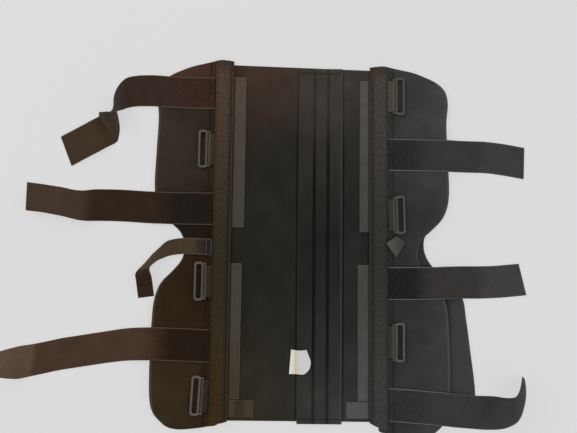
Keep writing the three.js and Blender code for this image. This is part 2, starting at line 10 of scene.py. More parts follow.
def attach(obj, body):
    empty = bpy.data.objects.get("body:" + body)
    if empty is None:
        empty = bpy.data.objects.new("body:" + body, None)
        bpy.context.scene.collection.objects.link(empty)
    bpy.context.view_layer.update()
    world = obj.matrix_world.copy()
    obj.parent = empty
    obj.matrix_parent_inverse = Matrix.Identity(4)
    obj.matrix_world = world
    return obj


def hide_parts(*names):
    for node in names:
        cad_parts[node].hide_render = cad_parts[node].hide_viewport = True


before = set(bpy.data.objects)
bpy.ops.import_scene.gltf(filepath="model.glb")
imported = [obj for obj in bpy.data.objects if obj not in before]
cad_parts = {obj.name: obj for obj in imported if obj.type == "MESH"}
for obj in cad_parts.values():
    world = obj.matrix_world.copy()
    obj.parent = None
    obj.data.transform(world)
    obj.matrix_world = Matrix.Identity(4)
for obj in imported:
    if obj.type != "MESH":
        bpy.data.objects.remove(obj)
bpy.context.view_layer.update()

# Sizes in millimetres, as in the part's solids
MM = 0.001
BRACE = "brace"
GAP = 0.3
BASE_TOP = 5.0
ON_BASE = BASE_TOP + GAP
WING_THICKNESS = 5.0
WING_TOP = ON_BASE + WING_THICKNESS
ON_WING = WING_TOP + GAP
WING_SAG = 5.0
SAG_START = 6.0
SAG_SPAN = 64.0
WING_LAP = 13.7
POCKET_SEAMS = (-34.5, -9.5, 12.0, 34.5)
POCKET_BULGE = 2.8
POCKET_EDGE = 1.2
POCKET_TOP = 274.0
POCKET_FOOT = -279.0
POCKET_HEM = 8.0
SLEEVE_WIDTH = 28.0
SLEEVE_TOP = 296.0
HOOK_THICKNESS = 1.7
HOOK_HIDDEN = 12.0
OVER_HOOKS = ON_BASE + HOOK_THICKNESS + GAP
STRAP_THICKNESS = 1.8
STRAP_MID = ON_WING + STRAP_THICKNESS / 2
WIDE = 50.0
NARROW = 25.0
LABEL_THICKNESS = 0.6
KEEPER_WIDTH = 49.0
KEEPER_WALL = 1.0
KEEPER_EYE = 1.45
KEEPER_NECK = 4.2
KEEPER_WRAP = 130.0
PIVOT_HEIGHT = ON_WING + KEEPER_EYE + KEEPER_WALL
RING_LENGTH = 60.0
RING_THICKNESS = 3.2
RING_REACH = 17.3
RING_HEEL = 1.5
RING_CORNER = 4.5
RING_SLOT = (6.2, 13.8)
RING_SLOT_LENGTH = 52.0
RING_SLOT_CORNER = 2.0
RING_BACK = 2.9
RING_BAR = 1.15
RAIL_OUTER = 28.0
RAIL_STEP = 0.15
BAR_SEAT = 1.5
RAIL_INNER = KEEPER_WIDTH / 2 + 2 * GAP
LOOP_PLACE = (-172.0, -10.6)
LOOP_LENGTH = 26.0
LOOP_WIDTH = 9.4
LOOP_BAR = 2.1
LOOP_THICKNESS = 2.0
LOOP_CORNER = 2.0

# Base panel: station along Y, half widths to the left and right, and skew of the station
BASE = (
    (274.5, 150, 96, 0.032), (270, 165, 118, 0.028), (264, 172, 138, 0.02), (255, 177, 158, 0.01),
    (245, 180, 171, 0), (232, 182, 180, 0), (60, 184, 186, 0), (36, 182, 182, 0), (26, 177, 176.5, 0),
    (16, 170, 169, 0), (7, 163, 163, 0), (-5, 160.5, 161.5, 0), (-19, 163.8, 163.8, 0),
    (-34, 172, 172, 0), (-54, 192, 192, 0), (-69, 208, 208, 0), (-85, 221, 221, 0),
    (-119, 226.6, 226.6, 0), (-165, 232.3, 232.3, 0), (-232, 239.2, 239.2, 0), (-254, 237, 237, 0),
    (-266, 230, 230, 0), (-272, 220, 220, 0), (-275, 208, 208, 0),
)

# Wing: station from the knee notch and reach outward from the sleeve's outer edge
WING = (
    (297.5, -4), (295.5, 4), (291.5, 22), (287.4, 41), (280, 60), (276, 69), (270.5, 78.5), (259, 90),
    (241, 94.8), (206, 92.4), (150, 94.2), (95, 95.5), (74, 92.5), (55, 84), (35, 64.5), (24.8, 53.8),
    (11.5, 47.3), (0, 46), (-11.5, 47.4), (-22, 52), (-40, 67.5), (-50, 77.5), (-60, 84), (-80, 90.5),
    (-115, 93.5), (-233, 93), (-251, 88), (-260, 81.5), (-268, 73), (-271, 69), (-274, 62), (-276, 50),
)
# Stations at its foot where a wing starts outside the sleeve, and how far out
WING_FOOT = {-271: 1, -274: 19, -276: 40}

# Sleeve section: distance from the inner edge and level of its upper face
SLEEVE = (
    (0, 9.6), (1.4, 10.6), (3.4, 10.2), (4.4, 13.4), (8, 15.6), (13.6, 16.3), (14, 16.3), (20, 15.9),
    (25.5, 14.6), (SLEEVE_WIDTH, 12),
)

# Side panels: where each is hooked on, and what it carries
# Hook strips are given as name, top, foot and width that shows; rings as along, out and turn
PANELS = (
    {
        "name": "left", "side": -1, "inner": 138.9, "trim": -2.5, "notch": -12.0, "lean": -0.3,
        "foot": (-264.0, -269.0), "tab": (-231.0, -257.0, 40.0),
        "hooks": (("upper", 271.0, 33.0, 19.9), ("lower", -23.0, -230.0, 17.9)),
        "rings": ((154.4, 7.8, 0.0), (-51.3, 9.4, 0.0), (-225.0, 10.2, -2.5)),
    },
    {
        "name": "right", "side": 1, "inner": 77.0, "trim": 0.0, "notch": -20.0, "lean": 0.0,
        "foot": (-256.0, -268.5), "tab": (-225.0, -250.0, 35.5),
        "hooks": (("upper", 274.6, 35.0, 15.5), ("lower", -16.0, -224.0, 18.2)),
        "rings": ((248.8, 9.0, 0.0), (61.6, 9.4, 1.5), (-133.6, 8.0, 0.0)),
    },
)

# Straps: width, length of the dark napped root, and rows of centre x, y, z with turn and tilt in degrees
STRAPS = {
    "left_strap_1": (WIDE, 58.0, (
        (-167.4, 231.5, STRAP_MID, 91, 0), (-190, 231.7, 11.6, 91, 0), (-206, 232, 11.2, 91, 0),
        (-225, 233, 9.6, 91, 0), (-241.5, 234, 8, 91, 0), (-256, 235.5, 6.7, 92, 0),
        (-275, 236.5, 3.6, 92, 0), (-291, 236, 3.2, 94, -3), (-307, 232, 5.2, 98, -9),
        (-317.5, 219, 15, 110, -33), (-323, 206, 22, 112, -56.6), (-323.6, 193, 25.4, 32.2, -83.8),
        (-326.2, 183, 23, -46.8, -60.3), (-331.6, 178.1, 14.6, -54.8, -32.5),
        (-336.8, 173.8, 3.2, -58.6, -3.3), (-350.7, 165, 6.2, -63.9, 1.9), (-401, 138.5, 1.4, -68, 0),
    )),
    "left_strap_2": (WIDE, 76.0, (
        (-167.4, 49, STRAP_MID, -90, 0), (-188, 49, 11.6, -90, 0), (-206, 49.1, 11.1, -90, 0),
        (-225, 49.4, 9.6, -90, 0), (-243, 49.8, 8, -89, 0), (-260, 50.4, 6.6, -89, 0),
        (-282, 51.8, 2.8, -89, 0), (-314, 53.6, 1.6, -88, 0), (-348, 53.8, 2.6, -88, 1),
        (-374, 52.6, 9.2, -84, 16), (-405, 58.6, 10.4, -81, 20), (-433, 63.2, 10.6, -80, 21),
        (-457.6, 66, 11.2, -82, 22),
    )),
    "left_strap_3": (WIDE, 84.0, (
        (-168.4, -161.8, STRAP_MID, -89, 0), (-213, -160.3, STRAP_MID, -89, 0),
        (-240, -159.5, 11.5, -89, 0), (-263, -159.6, 10.6, -90, 0), (-280, -160.3, 6.6, -92, 0),
        (-304, -162.4, 1.8, -95, 0), (-363, -171.6, 1.4, -97, 0), (-400, -177.8, 1.4, -97, 0),
        (-434, -185.2, 1.7, -96, 0.5), (-455, -189.2, 4.4, -92, 7), (-470, -190.6, 12.6, -79, 28),
        (-492, -192, 19.8, -63, 47),
    )),
    "knee_strap": (NARROW, 24.0, (
        (-167.2, -10.6, STRAP_MID, -90, 0), (-186, -9.6, STRAP_MID, -90, 0), (-204, -9.2, 10.4, -89, 0),
        (-221, -10, 8.6, -90, 0), (-237.1, -13.5, 7, -93.3, -0.3), (-248.6, -21, 9.7, -89.3, 36.5),
        (-260.6, -32.1, 13.1, -87.5, 45.7), (-266.7, -40.1, 13.3, -29.3, 58.1),
        (-273, -48.9, 15.4, 16, 20.6), (-270, -59.8, 19.3, 13.5, 7.7), (-269.2, -88.4, 1.5, 8, 0),
    )),
    "right_strap_1": (WIDE, 52.0, (
        (106, 136.4, STRAP_MID, -90, 0), (155, 135.8, STRAP_MID, -90, 0), (188, 135.4, STRAP_MID, -90, 0),
        (203, 135.3, 10.8, -90, 0), (218, 135.3, 6.8, -90, 0), (236, 135.5, 2.6, -90, 0),
        (258, 135.2, 1.4, -91, 0), (282, 132.6, 1.4, -93, 0), (321, 126, 1.4, -92, 0),
    )),
    "right_strap_2": (WIDE, 54.0, (
        (106, -64, STRAP_MID, -90, 0), (154, -63.6, STRAP_MID, -90, 0), (188, -62.6, STRAP_MID, -90, 0),
        (202, -62, 10.2, -90, 0), (218, -61.5, 7.2, -90, 0), (229, -61.3, 5.4, -90, 0),
        (246, -61.2, 2.2, -90, 0), (280, -59.6, 1.4, -87, 0), (315.6, -56, 1.4, -77, 0),
    )),
    "right_strap_3": (WIDE, 60.0, (
        (106, -247.6, STRAP_MID, -90, 0), (153, -250.7, STRAP_MID, -92, 0),
        (198, -254.5, STRAP_MID, -92, 0), (212, -256, 9.8, -92, 0), (227, -257.6, 7.3, -93, 0),
        (244, -258.8, 6.4, -94, 2), (264, -258.8, 8.4, -97, 16), (284, -256.4, 17.4, -103, 40),
        (297, -250, 22, -109, 56), (303.5, -234, 25.6, -130, 74), (306.5, -218, 25.8, -157, 77),
        (306.7, -203.5, 25.4, -192, 74),
    )),
}

# Knee tab: middle, slope in degrees, thickness, and its four corners from the middle
TAB_MIDDLE = (117.5, -6.0, 14.1)
TAB_SLOPE = 9.7
TAB_THICKNESS = 1.8
TAB_CORNERS = ((0.5, 14.4), (-16.4, 4.0), (0.0, -18.4), (14.0, 5.6))

# Label: station along Y, left edge and right edge
LABEL = (
    (-166.4, -43.4, -20), (-175, -44.1, -16.4), (-184.7, -44.8, -13.2), (-194.7, -45.6, -15.1),
    (-200, -46, -19), (-203.6, -46.2, -24),
)
LABEL_CLIMB = 4.0
LABEL_DIP = 1.4


# Camera and light
PHOTO_WIDTH = 577
PHOTO_FOCAL = 700.0
EYE = (-49.373, -48.196, 1094.559)
EYE_TILT = math.radians(4.55)
EYE_ROLL = math.radians(0.55)
SENSOR = 36.0
FLOOR_SIZE = 9.0
FLOOR_DROP = 0.0002
SKY_STRENGTH = 0.62
WINDOW_SIZE = 1.6
# Windows: name, place, power and colour
WINDOWS = (
    ("window_left", (-1.5, 0.9, 1.9), 16, (1, 0.93, 0.84)),
    ("window_right", (1.7, -0.3, 1.8), 9, (0.95, 0.97, 1)),
)


def set_camera():
    bpy.ops.object.camera_add()
    camera = bpy.context.object
    camera.name = "photo_camera"
    ct, st = math.cos(EYE_TILT), math.sin(EYE_TILT)
    cr, sr = math.cos(EYE_ROLL), math.sin(EYE_ROLL)
    axes = Matrix(((cr, sr * ct, sr * st), (-sr, cr * ct, cr * st), (0, -st, ct)))
    camera.matrix_world = Matrix.Translation(Vector(EYE) * MM) @ axes.transposed().to_4x4()
    camera.data.sensor_fit = "HORIZONTAL"
    camera.data.sensor_width = SENSOR
    camera.data.lens = PHOTO_FOCAL * SENSOR / PHOTO_WIDTH
    bpy.context.scene.camera = camera


def set_light():
    world = bpy.data.worlds.new("studio")
    world.use_nodes = True
    sky = world.node_tree.nodes["Background"].inputs
    sky["Color"].default_value = (1, 1, 1, 1)
    sky["Strength"].default_value = SKY_STRENGTH
    bpy.context.scene.world = world
    bpy.context.scene.view_settings.view_transform = "Standard"
    for name, place, power, colour in WINDOWS:
        bpy.ops.object.light_add(type="AREA", location=place)
        light = bpy.context.object
        light.name = name
        light.data.shape = "SQUARE"
        light.data.size = WINDOW_SIZE
        light.data.energy = power
        light.data.color = colour
        light.rotation_mode = "QUATERNION"
        light.rotation_quaternion = Vector(place).to_track_quat("Z", "Y")


def lay_floor(finish):
    bpy.ops.mesh.primitive_plane_add(size=FLOOR_SIZE, location=(0, 0, -FLOOR_DROP))
    floor = bpy.context.object
    floor.name = "floor"
    floor.data.materials.append(finish)


# Points and smooth lines
FINE = 1200
TINY = 1e-9
# Unevenness of the cloths: height, size of its waves and seed
WAVES = {
    "base": (0.25, 46.0, 3.1), "base_fine": (0.12, 15.0, 7.7), "pocket": (0.22, 22.0, 1.7),
    "left_wing": (0.3, 38.0, 1.0), "right_wing": (0.3, 38.0, 3.0), "sleeve": (0.16, 26.0, 4.0),
    "tape": (0.12, 30.0, 9.0), "label": (0.25, 12.0, 5.0), "strap_edge": (0.25, 24.0, 6.0),
    "fray": (5.0, 9.0, 2.0),
}


def read_points(mesh):
    points = np.zeros(len(mesh.vertices) * 3)
    mesh.vertices.foreach_get("co", points)
    return points.reshape(-1, 3)


def write_points(mesh, points):
    mesh.vertices.foreach_set("co", np.asarray(points, float).ravel())
    mesh.update()


def lengths(ways):
    """Length of each way, as a column."""
    return np.maximum(np.linalg.norm(ways, axis=1), TINY)[:, None]


def through(stations, at, even=False):
    """Points on a smooth line through the stations, at shares of its spans; even spans count alike."""
    stations = np.asarray(stations, float)
    last = len(stations) - 1
    line = np.array([2 * stations[0] - stations[1], *stations, 2 * stations[-1] - stations[-2]])
    place = np.clip(at, 0, 1) * last
    first = np.minimum(place.astype(int), last - 1)
    share = (place - first)[:, None]
    p0, p1, p2, p3 = (line[first + k] for k in range(4))
    d0, d1, d2 = (np.sqrt(lengths(way)) for way in (p1 - p0, p2 - p1, p3 - p2))
    t1 = ((p1 - p0) / d0 - (p2 - p0) / (d0 + d1) + (p2 - p1) / d1) * d1
    t2 = ((p2 - p1) / d1 - (p3 - p1) / (d1 + d2) + (p3 - p2) / d2) * d1
    if even:
        t1, t2 = (p2 - p0) / 2, (p3 - p1) / 2
    square = -3 * p1 + 3 * p2 - 2 * t1 - t2
    cube = 2 * p1 - 2 * p2 + t1 + t2
    return p1 + share * t1 + share**2 * square + share**3 * cube


def ahead_of(line, at, nudge):
    """Way along a smooth line at shares of its spans."""
    return through(line, np.minimum(at + nudge, 1)) - through(line, np.maximum(at - nudge, 0))


def steps_of(line):
    """Lengths of the fine steps along a smooth line through stations."""
    return np.linalg.norm(np.diff(through(line, np.linspace(0, 1, FINE)), axis=0), axis=1)


def even_shares(lines, step):
    """Shares along lines that run side by side, about a step apart on the longer one."""
    gone = np.concatenate([[0], np.cumsum(np.max([steps_of(line) for line in lines], axis=0))])
    count = max(2, round(gone[-1] / step))
    return np.interp(np.linspace(0, gone[-1], count + 1), gone, np.linspace(0, 1, FINE))


def spread(shares, v):
    """Shares of the spans at even shares of the length."""
    return np.interp(v, np.linspace(0, 1, len(shares)), shares)


def rise(value, start, over):
    """A soft step from 0 at its start to 1 that far over it, or before it where that is negative."""
    share = np.clip((value - start) / over, 0, 1)
    return share * share * (3 - 2 * share)


def window(value, low, up, high, down):
    """1 between two limits, with a soft rise and fall inside them."""
    return rise(value, low, up) * rise(value, high, -down)


def ripple(x, y, kind):
    """Soft unevenness of a cloth at points in plan."""
    height, size, seed = WAVES[kind]
    return height * np.array([noise.noise((a / size, b / size, seed)) for a, b in zip(x, y)])


# Making pieces
SMOOTH_ANGLE = 40
RIM_ANGLE = 50
FOAM_RIM = 1.7 * MM
TAPE_RIM = 0.5 * MM
LABEL_RIM = 0.2 * MM
KEEPER_RIM = 0.25 * MM
TAB_RIM = 0.4 * MM
FOAM_PRESSURE = 3.0
POCKET_PRESSURE = 5.0
SWELL_FRAMES = 20


def choose(piece):
    bpy.ops.object.select_all(action="DESELECT")
    bpy.context.view_layer.objects.active = piece
    piece.select_set(True)


def apply_modifier(piece, kind, **settings):
    made = piece.modifiers.new(kind.lower(), kind)
    for name, value in settings.items():
        setattr(made, name, value)
    choose(piece)
    bpy.ops.object.modifier_apply(modifier=made.name)


def edit_all(piece):
    """Edit mode on one piece with all of it selected."""
    choose(piece)
    bpy.ops.object.mode_set(mode="EDIT")
    bpy.ops.mesh.select_all(action="SELECT")


def mark(piece, name, values):
    """A named value on each point that the piece's finish reads; values of one face count for both."""
    found = piece.data.attributes.new(name, "FLOAT", "POINT")
    found.data.foreach_set("value", np.resize(values, len(piece.data.vertices)).astype(np.float32))


def slab(name, columns, rows, face, lifts, measure):
    """A closed piece of cloth between its face at two lifts, with its flat pattern from measure."""
    bpy.ops.mesh.primitive_grid_add(x_subdivisions=columns, y_subdivisions=rows, size=1)
    piece = bpy.context.object
    piece.name = name
    piece.data.name = name
    u, v, _ = (read_points(piece.data) + 0.5).T
    apply_modifier(piece, "SOLIDIFY", thickness=0.01, offset=-1)
    write_points(piece.data, np.concatenate([face(lift, u, v) for lift in lifts]) * MM)
    corners = np.zeros(len(piece.data.loops), int)
    piece.data.loops.foreach_get("vertex_index", corners)
    pattern = np.tile(measure(u, v) * MM, (2, 1))
    piece.data.uv_layers.active.data.foreach_set("uv", pattern[corners].ravel())
    edit_all(piece)
    bpy.ops.mesh.normals_make_consistent(inside=False)
    bpy.ops.object.mode_set(mode="OBJECT")
    mark(piece, "under", np.repeat([0, 1], len(u)))
    return piece, u, v


def level_face(plan, level, u, v):
    """A face over a plan, at one level or at one for each point."""
    return np.column_stack([plan(u, v), np.broadcast_to(level, len(u))])


def between(first, second, step):
    """Plan of a piece between two lines, and its number of rows."""
    shares = even_shares((first, second), step)

    def plan(u, v):
        at = spread(shares, 1 - v)
        a, b = through(first, at), through(second, at)
        return a + (b - a) * u[:, None]

    return plan, len(shares) - 1


def edge_inset(u, v, width, length):
    """Distance in metres from the nearest edge of a sheet."""
    return np.minimum(np.minimum(u, 1 - u) * width, np.minimum(v, 1 - v) * length) * MM


def round_edges(piece, width, segments=2, angle=RIM_ANGLE):
    limit = math.radians(angle)
    apply_modifier(piece, "BEVEL", width=width, segments=segments, limit_method="ANGLE", angle_limit=limit)


def dress(piece, finish, nodes, body=BRACE):
    """Gives a piece its finish, its body and the solids that it stands for."""
    choose(piece)
    bpy.ops.object.shade_smooth_by_angle(angle=math.radians(SMOOTH_ANGLE))
    piece.data.materials.clear()
    piece.data.materials.append(finish)
    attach(piece, body)
    if nodes:
        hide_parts(*nodes)


def swell(piece, free, pressure, cap):
    """Cloth that an inner pressure lifts where it is free, by at most the cap in millimetres."""
    start = read_points(piece.data)
    held = piece.vertex_groups.new(name="held")
    for level in np.unique(np.round(1 - free, 1)):
        chosen = np.flatnonzero(np.round(1 - free, 1) == level)
        held.add(chosen.tolist(), float(level), "REPLACE")
    cloth = piece.modifiers.new("cloth", "CLOTH")
    cloth.settings.vertex_group_mass = held.name
    cloth.settings.use_pressure = True
    cloth.settings.uniform_pressure_force = pressure
    cloth.settings.effector_weights.gravity = 0
    cloth.point_cache.frame_start = 1
    cloth.point_cache.frame_end = SWELL_FRAMES
    scene = bpy.context.scene
    for step in range(1, SWELL_FRAMES + 1):
        scene.frame_set(step)
    lifted = piece.evaluated_get(bpy.context.evaluated_depsgraph_get())
    shift = read_points(lifted.data) - start
    piece.modifiers.remove(cloth)
    piece.vertex_groups.remove(held)
    scene.frame_set(1)
    allowed = np.minimum(1, (cap * MM * free)[:, None] / lengths(shift))
    write_points(piece.data, start + shift * allowed)


def fill_out(piece, free, pressure, cap, uneven):
    """Padding that swells and lies unevenly where its upper face is free."""
    swell(piece, np.concatenate([free, np.zeros(len(free))]), pressure, cap)
    points = read_points(piece.data)
    points[: len(free), 2] += uneven * free * MM
    write_points(piece.data, points)


# Finishes
# Sockets of nodes, by number or name
MIX = (0, 6, 7)
MIX_COLOUR = 2
GRAIN = ("Vector", "Scale", "Detail", "Roughness")
DOTS = ("Vector", "Scale", "Randomness")
RANGE = ("Value", "From Min", "From Max", "To Min", "To Max")
ROWS = ("Calf", "Knee", "Thigh")
SIDES = ("left", "right")
REACH = ("Calf from", "Calf to", "Thigh from", "Thigh to")
PLAIN_REACH = (0.06, 0.24, -0.08, -0.25)
TACK_LINE = 0.0078
TACK_TONE = (14, 12, 10)
FOAM_RELIEF = 0.0004
WEB_RELIEF = 0.0005
WEB_RIB = 0.0016
WEB_WARP = 0.0011


class Wiring:
    """Adds nodes to one material's or one group's tree."""

    def __init__(self, tree):
        self.tree = tree

    def node(self, kind, **settings):
        made = self.tree.nodes.new("ShaderNode" + kind)
        for name, value in settings.items():
            setattr(made, name, value)
        return made

    def feed(self, socket, value):
        if isinstance(value, bpy.types.NodeSocket):
            self.tree.links.new(socket, value)
        else:
            socket.default_value = value

    def fill(self, kind, sockets, values, **settings):
        """A new node with values on some of its inputs, as its outputs."""
        made = self.node(kind, **settings)
        for socket, value in zip(sockets, values):
            self.feed(made.inputs[socket], value)
        return made.outputs

    def sum_of(self, operation, *values):
        return self.fill("Math", range(len(values)), values, operation=operation)[0]

    def times(self, first, second):
        return self.sum_of("MULTIPLY", first, second)

    def mix(self, share, first, second, blend="MIX"):
        values = (share, first, second)
        return self.fill("Mix", MIX, values, data_type="RGBA", blend_type=blend)[MIX_COLOUR]

    def stretch(self, value, low, high, to_low=0.0, to_high=1.0, kind="SMOOTHSTEP"):
        values = (value, low, high, to_low, to_high)
        return self.fill("MapRange", RANGE, values, interpolation_type=kind)["Result"]

    def grain(self, vector, scale, detail, roughness=0.55):
        return self.fill("TexNoise", GRAIN, (vector, scale, detail, roughness))["Fac"]

    def cloud(self, vector, scale, detail, sway):
        """An uneven shade that sways about 1."""
        field = self.grain(vector, scale, detail, 0.6)
        return self.stretch(field, 0.3, 0.7, 1 - sway, 1 + sway, "LINEAR")

    def split(self, vector):
        return self.fill("SeparateXYZ", ("Vector",), (vector,))

    def value_of(self, name):
        return self.node("Attribute", attribute_name=name).outputs["Fac"]

    def group(self, kind, **values):
        return self.fill("Group", values, values.values(), node_tree=kind)

    def give(self, **outputs):
        """Ends a group with its named outputs."""
        for label in outputs:
            kind = "Color" if label == "Colour" else "Float"
            self.tree.interface.new_socket(label, in_out="OUTPUT", socket_type="NodeSocket" + kind)
        leave = self.tree.nodes.new("NodeGroupOutput")
        for label, value in outputs.items():
            self.feed(leave.inputs[label], value)
        return self.tree

    def line(self, value, place, width):
        """A soft line, 1 where the value is at its place."""
        off = self.sum_of("ABSOLUTE", self.sum_of("SUBTRACT", value, place))
        return self.group(EDGE, Inset=off, Width=width)["Mask"]

    def edge(self, width):
        """A soft line along the edge of the piece."""
        return self.group(EDGE, Inset=self.value_of("inset"), Width=width)["Mask"]


def new_group(name, numbers, vector=True, colours=()):
    """A shader node group with named inputs."""
    tree = bpy.data.node_groups.new(name, "ShaderNodeTree")
    kinds = {"Vector": "Vector"} if vector else {}
    kinds.update({label: "Float" for label in numbers})
    kinds.update({label: "Color" for label in colours})
    for label, kind in kinds.items():
        tree.interface.new_socket(label, in_out="INPUT", socket_type="NodeSocket" + kind)
    return Wiring(tree), tree.nodes.new("NodeGroupInput").outputs


def make_nap_group():
    """Short brushed pile: fine tufts, with lighter and darker patches where it lies over."""
    w, given = new_group("brushed_nap", ("Tuft", "Patch"))
    place = given["Vector"]
    tufts = w.grain(place, w.sum_of("DIVIDE", 1.0, given["Tuft"]), 2.0, 0.65)
    clumps = w.grain(place, w.sum_of("DIVIDE", 0.28, given["Tuft"]), 2.0, 0.6)
    height = w.sum_of("ADD", w.times(tufts, 0.6), w.times(clumps, 0.4))
    near = w.stretch(tufts, 0.25, 0.75, 0.82, 1.18, "LINEAR")
    wide = w.cloud(place, w.sum_of("DIVIDE", 1.0, given["Patch"]), 3.0, 0.14)
    return w.give(Height=height, Shade=w.times(near, wide))


def make_weave_group():
    """Ribbed webbing: ribs across the run, each broken by the warp."""
    w, given = new_group("ribbed_weave", ("Rib", "Warp"))
    across, along, _ = w.split(given["Vector"])
    thread = w.sum_of("DIVIDE", across, given["Warp"])
    shift = w.times(w.sum_of("FLOOR", thread), 0.5)
    row = w.sum_of("ADD", w.sum_of("DIVIDE", along, given["Rib"]), shift)
    rib, warp = (w.sum_of("SINE", w.times(count, 2 * math.pi)) for count in (row, thread))
    height = w.sum_of("MULTIPLY_ADD", warp, 0.2, w.sum_of("MULTIPLY_ADD", rib, 0.3, 0.5))
    fuzz = w.cloud(given["Vector"], 420.0, 3.0, 0.12)
    return w.give(Height=height, Shade=w.times(w.stretch(height, 0.0, 1.0, 0.72, 1.22, "LINEAR"), fuzz))


def make_hooks_group():
    """Hook fastener: a field of fine stiff dots in rows."""
    w, given = new_group("hook_field", ("Pitch",))
    values = (given["Vector"], w.sum_of("DIVIDE", 1.0, given["Pitch"]), 0.35)
    distance = w.fill("TexVoronoi", DOTS, values, feature="F1")["Distance"]
    height = w.stretch(distance, 0.1, 0.6, 1.0, 0.0)
    soft = w.cloud(given["Vector"], 45.0, 3.0, 0.1)
    return w.give(Height=height, Shade=w.times(w.stretch(height, 0.0, 1.0, 0.86, 1.14, "LINEAR"), soft))


def make_edge_group():
    """A line along a cut or woven edge: 1 at the edge, 0 further in than the width."""
    w, given = new_group("edge_line", ("Inset", "Width"), vector=False)
    share = w.sum_of("DIVIDE", given["Inset"], given["Width"])
    return w.give(Mask=w.stretch(share, 0.35, 1.0, 1.0, 0.0))


def make_tone_group():
    """Dye and painted light over the whole part: left and right tones at the calf end, knee and thigh end.
    The knee is darker by painted light falloff; the left's warmth is partly dye, partly a painted warm
    cast of light.
    """
    tones = [f"{row} {side}" for row in ROWS for side in SIDES]
    w, given = new_group("dye_and_light_field", REACH, colours=tones)
    x, y, _ = w.split(given["Vector"])
    side = w.stretch(x, -0.19, 0.12)
    calf, knee, thigh = (w.mix(side, given[row + " left"], given[row + " right"]) for row in ROWS)
    upper = w.mix(w.stretch(y, given["Calf from"], given["Calf to"]), knee, calf)
    return w.give(Colour=w.mix(w.stretch(y, given["Thigh from"], given["Thigh to"]), upper, thigh))


NAP = make_nap_group()
WEAVE = make_weave_group()
HOOKS = make_hooks_group()
EDGE = make_edge_group()
DYE_AND_LIGHT = make_tone_group()


def srgb(*levels):
    """A colour for a node from display levels of 0 to 255."""
    shares = [level / 255 for level in levels]
    linear = [s / 12.92 if s <= 0.04045 else ((s + 0.055) / 1.055) ** 2.4 for s in shares]
    return (*linear, 1.0)


class Finish(Wiring):
    """A material in the making: its wiring, its coordinates and its colour so far."""

    def __init__(self, name, roughness, specular, sheen=0.0):
        self.made = bpy.data.materials.new(name)
        self.made.use_nodes = True
        super().__init__(self.made.node_tree)
        self.shader = self.tree.nodes["Principled BSDF"].inputs
        self.shader["Roughness"].default_value = roughness
        self.shader["Specular IOR Level"].default_value = specular
        self.shader["Sheen Weight"].default_value = sheen
        place = self.node("TexCoord").outputs
        self.place, self.pattern = place["Object"], place["UV"]

    def tones(self, table, reach=PLAIN_REACH):
        """Colour from a table of left and right tones at the calf end, knee and thigh end: dye with
        painted light.
        """
        given = dict(zip(REACH, reach))
        for row, tones in zip(ROWS, table):
            given.update({f"{row} {side}": srgb(*tone) for side, tone in zip(SIDES, tones)})
        self.colour = self.group(DYE_AND_LIGHT, Vector=self.place, **given)["Colour"]

    def shade(self, *shades):
        for shade in shades:
            self.colour = self.mix(1.0, self.colour, shade, "MULTIPLY")

    def tint(self, share, mask, tone):
        """Draws the colour towards a tone by a share of a mask."""
        self.colour = self.mix(self.times(mask, share), self.colour, srgb(*tone))

    def weave(self, rib=WEB_RIB, warp=WEB_WARP):
        return self.group(WEAVE, Vector=self.pattern, Rib=rib, Warp=warp)

    def done(self, height=None, distance=WEB_RELIEF):
        """The finished material, with its colour and its relief."""
        self.feed(self.shader["Base Color"], self.colour)
        if height is not None:
            relief = self.fill("Bump", ("Distance", "Height"), (distance, height))
            self.feed(self.shader["Normal"], relief["Normal"])
        return self.made


def foam_finish(name, tones, reach):
    """The brushed face of padded laminate, and the relief of its pile."""
    f = Finish(name, 0.92, 0.12, 0.06)
    nap = f.group(NAP, Vector=f.place, Tuft=0.0007, Patch=0.035)
    clouds = f.grain(f.place, 7.0, 4.0, 0.62)
    f.tones(tones, reach)
    f.shade(nap["Shade"], f.stretch(clouds, 0.28, 0.72, 0.84, 1.16, "LINEAR"))
    return f, nap["Height"]


def groove_shade_depth(f, y):
    """How much of its painted shade a sewn groove keeps: all at the knee, less towards both ends."""
    return f.times(f.stretch(y, 0.12, 0.2, 1.0, 0.35), f.stretch(y, -0.14, -0.24, 1.0, 0.6))


def base_finish():
    """Base laminate: a light hem at its edge, a painted glow of light past the right wing, painted shade
    beside the pocket.
    """
    f, pile = foam_finish("base_laminate", BASE_TONES, (0.11, 0.3, -0.08, -0.25))
    # Painted glow of light past the right wing and in the knee notch.
    f.tint(0.85, f.value_of("outer"), (65, 65, 68))
    f.tint(0.7, f.edge(0.0034), (74, 71, 66))
    x, y, _ = f.split(f.place)
    # Painted shade beside the pocket's sides.
    beside = f.line(f.sum_of("ABSOLUTE", x), 0.0358, 0.0027)
    f.tint(0.85, f.times(beside, groove_shade_depth(f, y)), (14, 13, 12))
    return f.done(pile, FOAM_RELIEF)


def pocket_finish():
    """Pocket laminate: painted shade in its sewn grooves, dark lines along its hems, and a painted
    highlight on the ridge along each side.
    """
    f, pile = foam_finish("pocket_laminate", POCKET_TONES, (-0.02, 0.31, -0.02, -0.31))
    x, y, _ = f.split(f.place)
    depth = groove_shade_depth(f, y)
    # Painted shade in the sewn grooves.
    for seam in POCKET_SEAMS[1:-1]:
        f.tint(0.95, f.times(f.line(x, seam * MM, 0.0034), depth), (4, 4, 3))
    for hem in (POCKET_TOP - POCKET_HEM, POCKET_FOOT + POCKET_HEM):
        f.tint(0.55, f.line(y, hem * MM, 0.0016), (16, 15, 14))
    # Painted highlight on the ridge along each side.
    for ridge, share, width in ((-0.0337, 0.2, 0.0014), (0.0334, 0.5, 0.002)):
        f.tint(share, f.line(x, ridge, width), (84, 83, 80))
    return f.done(pile, FOAM_RELIEF)


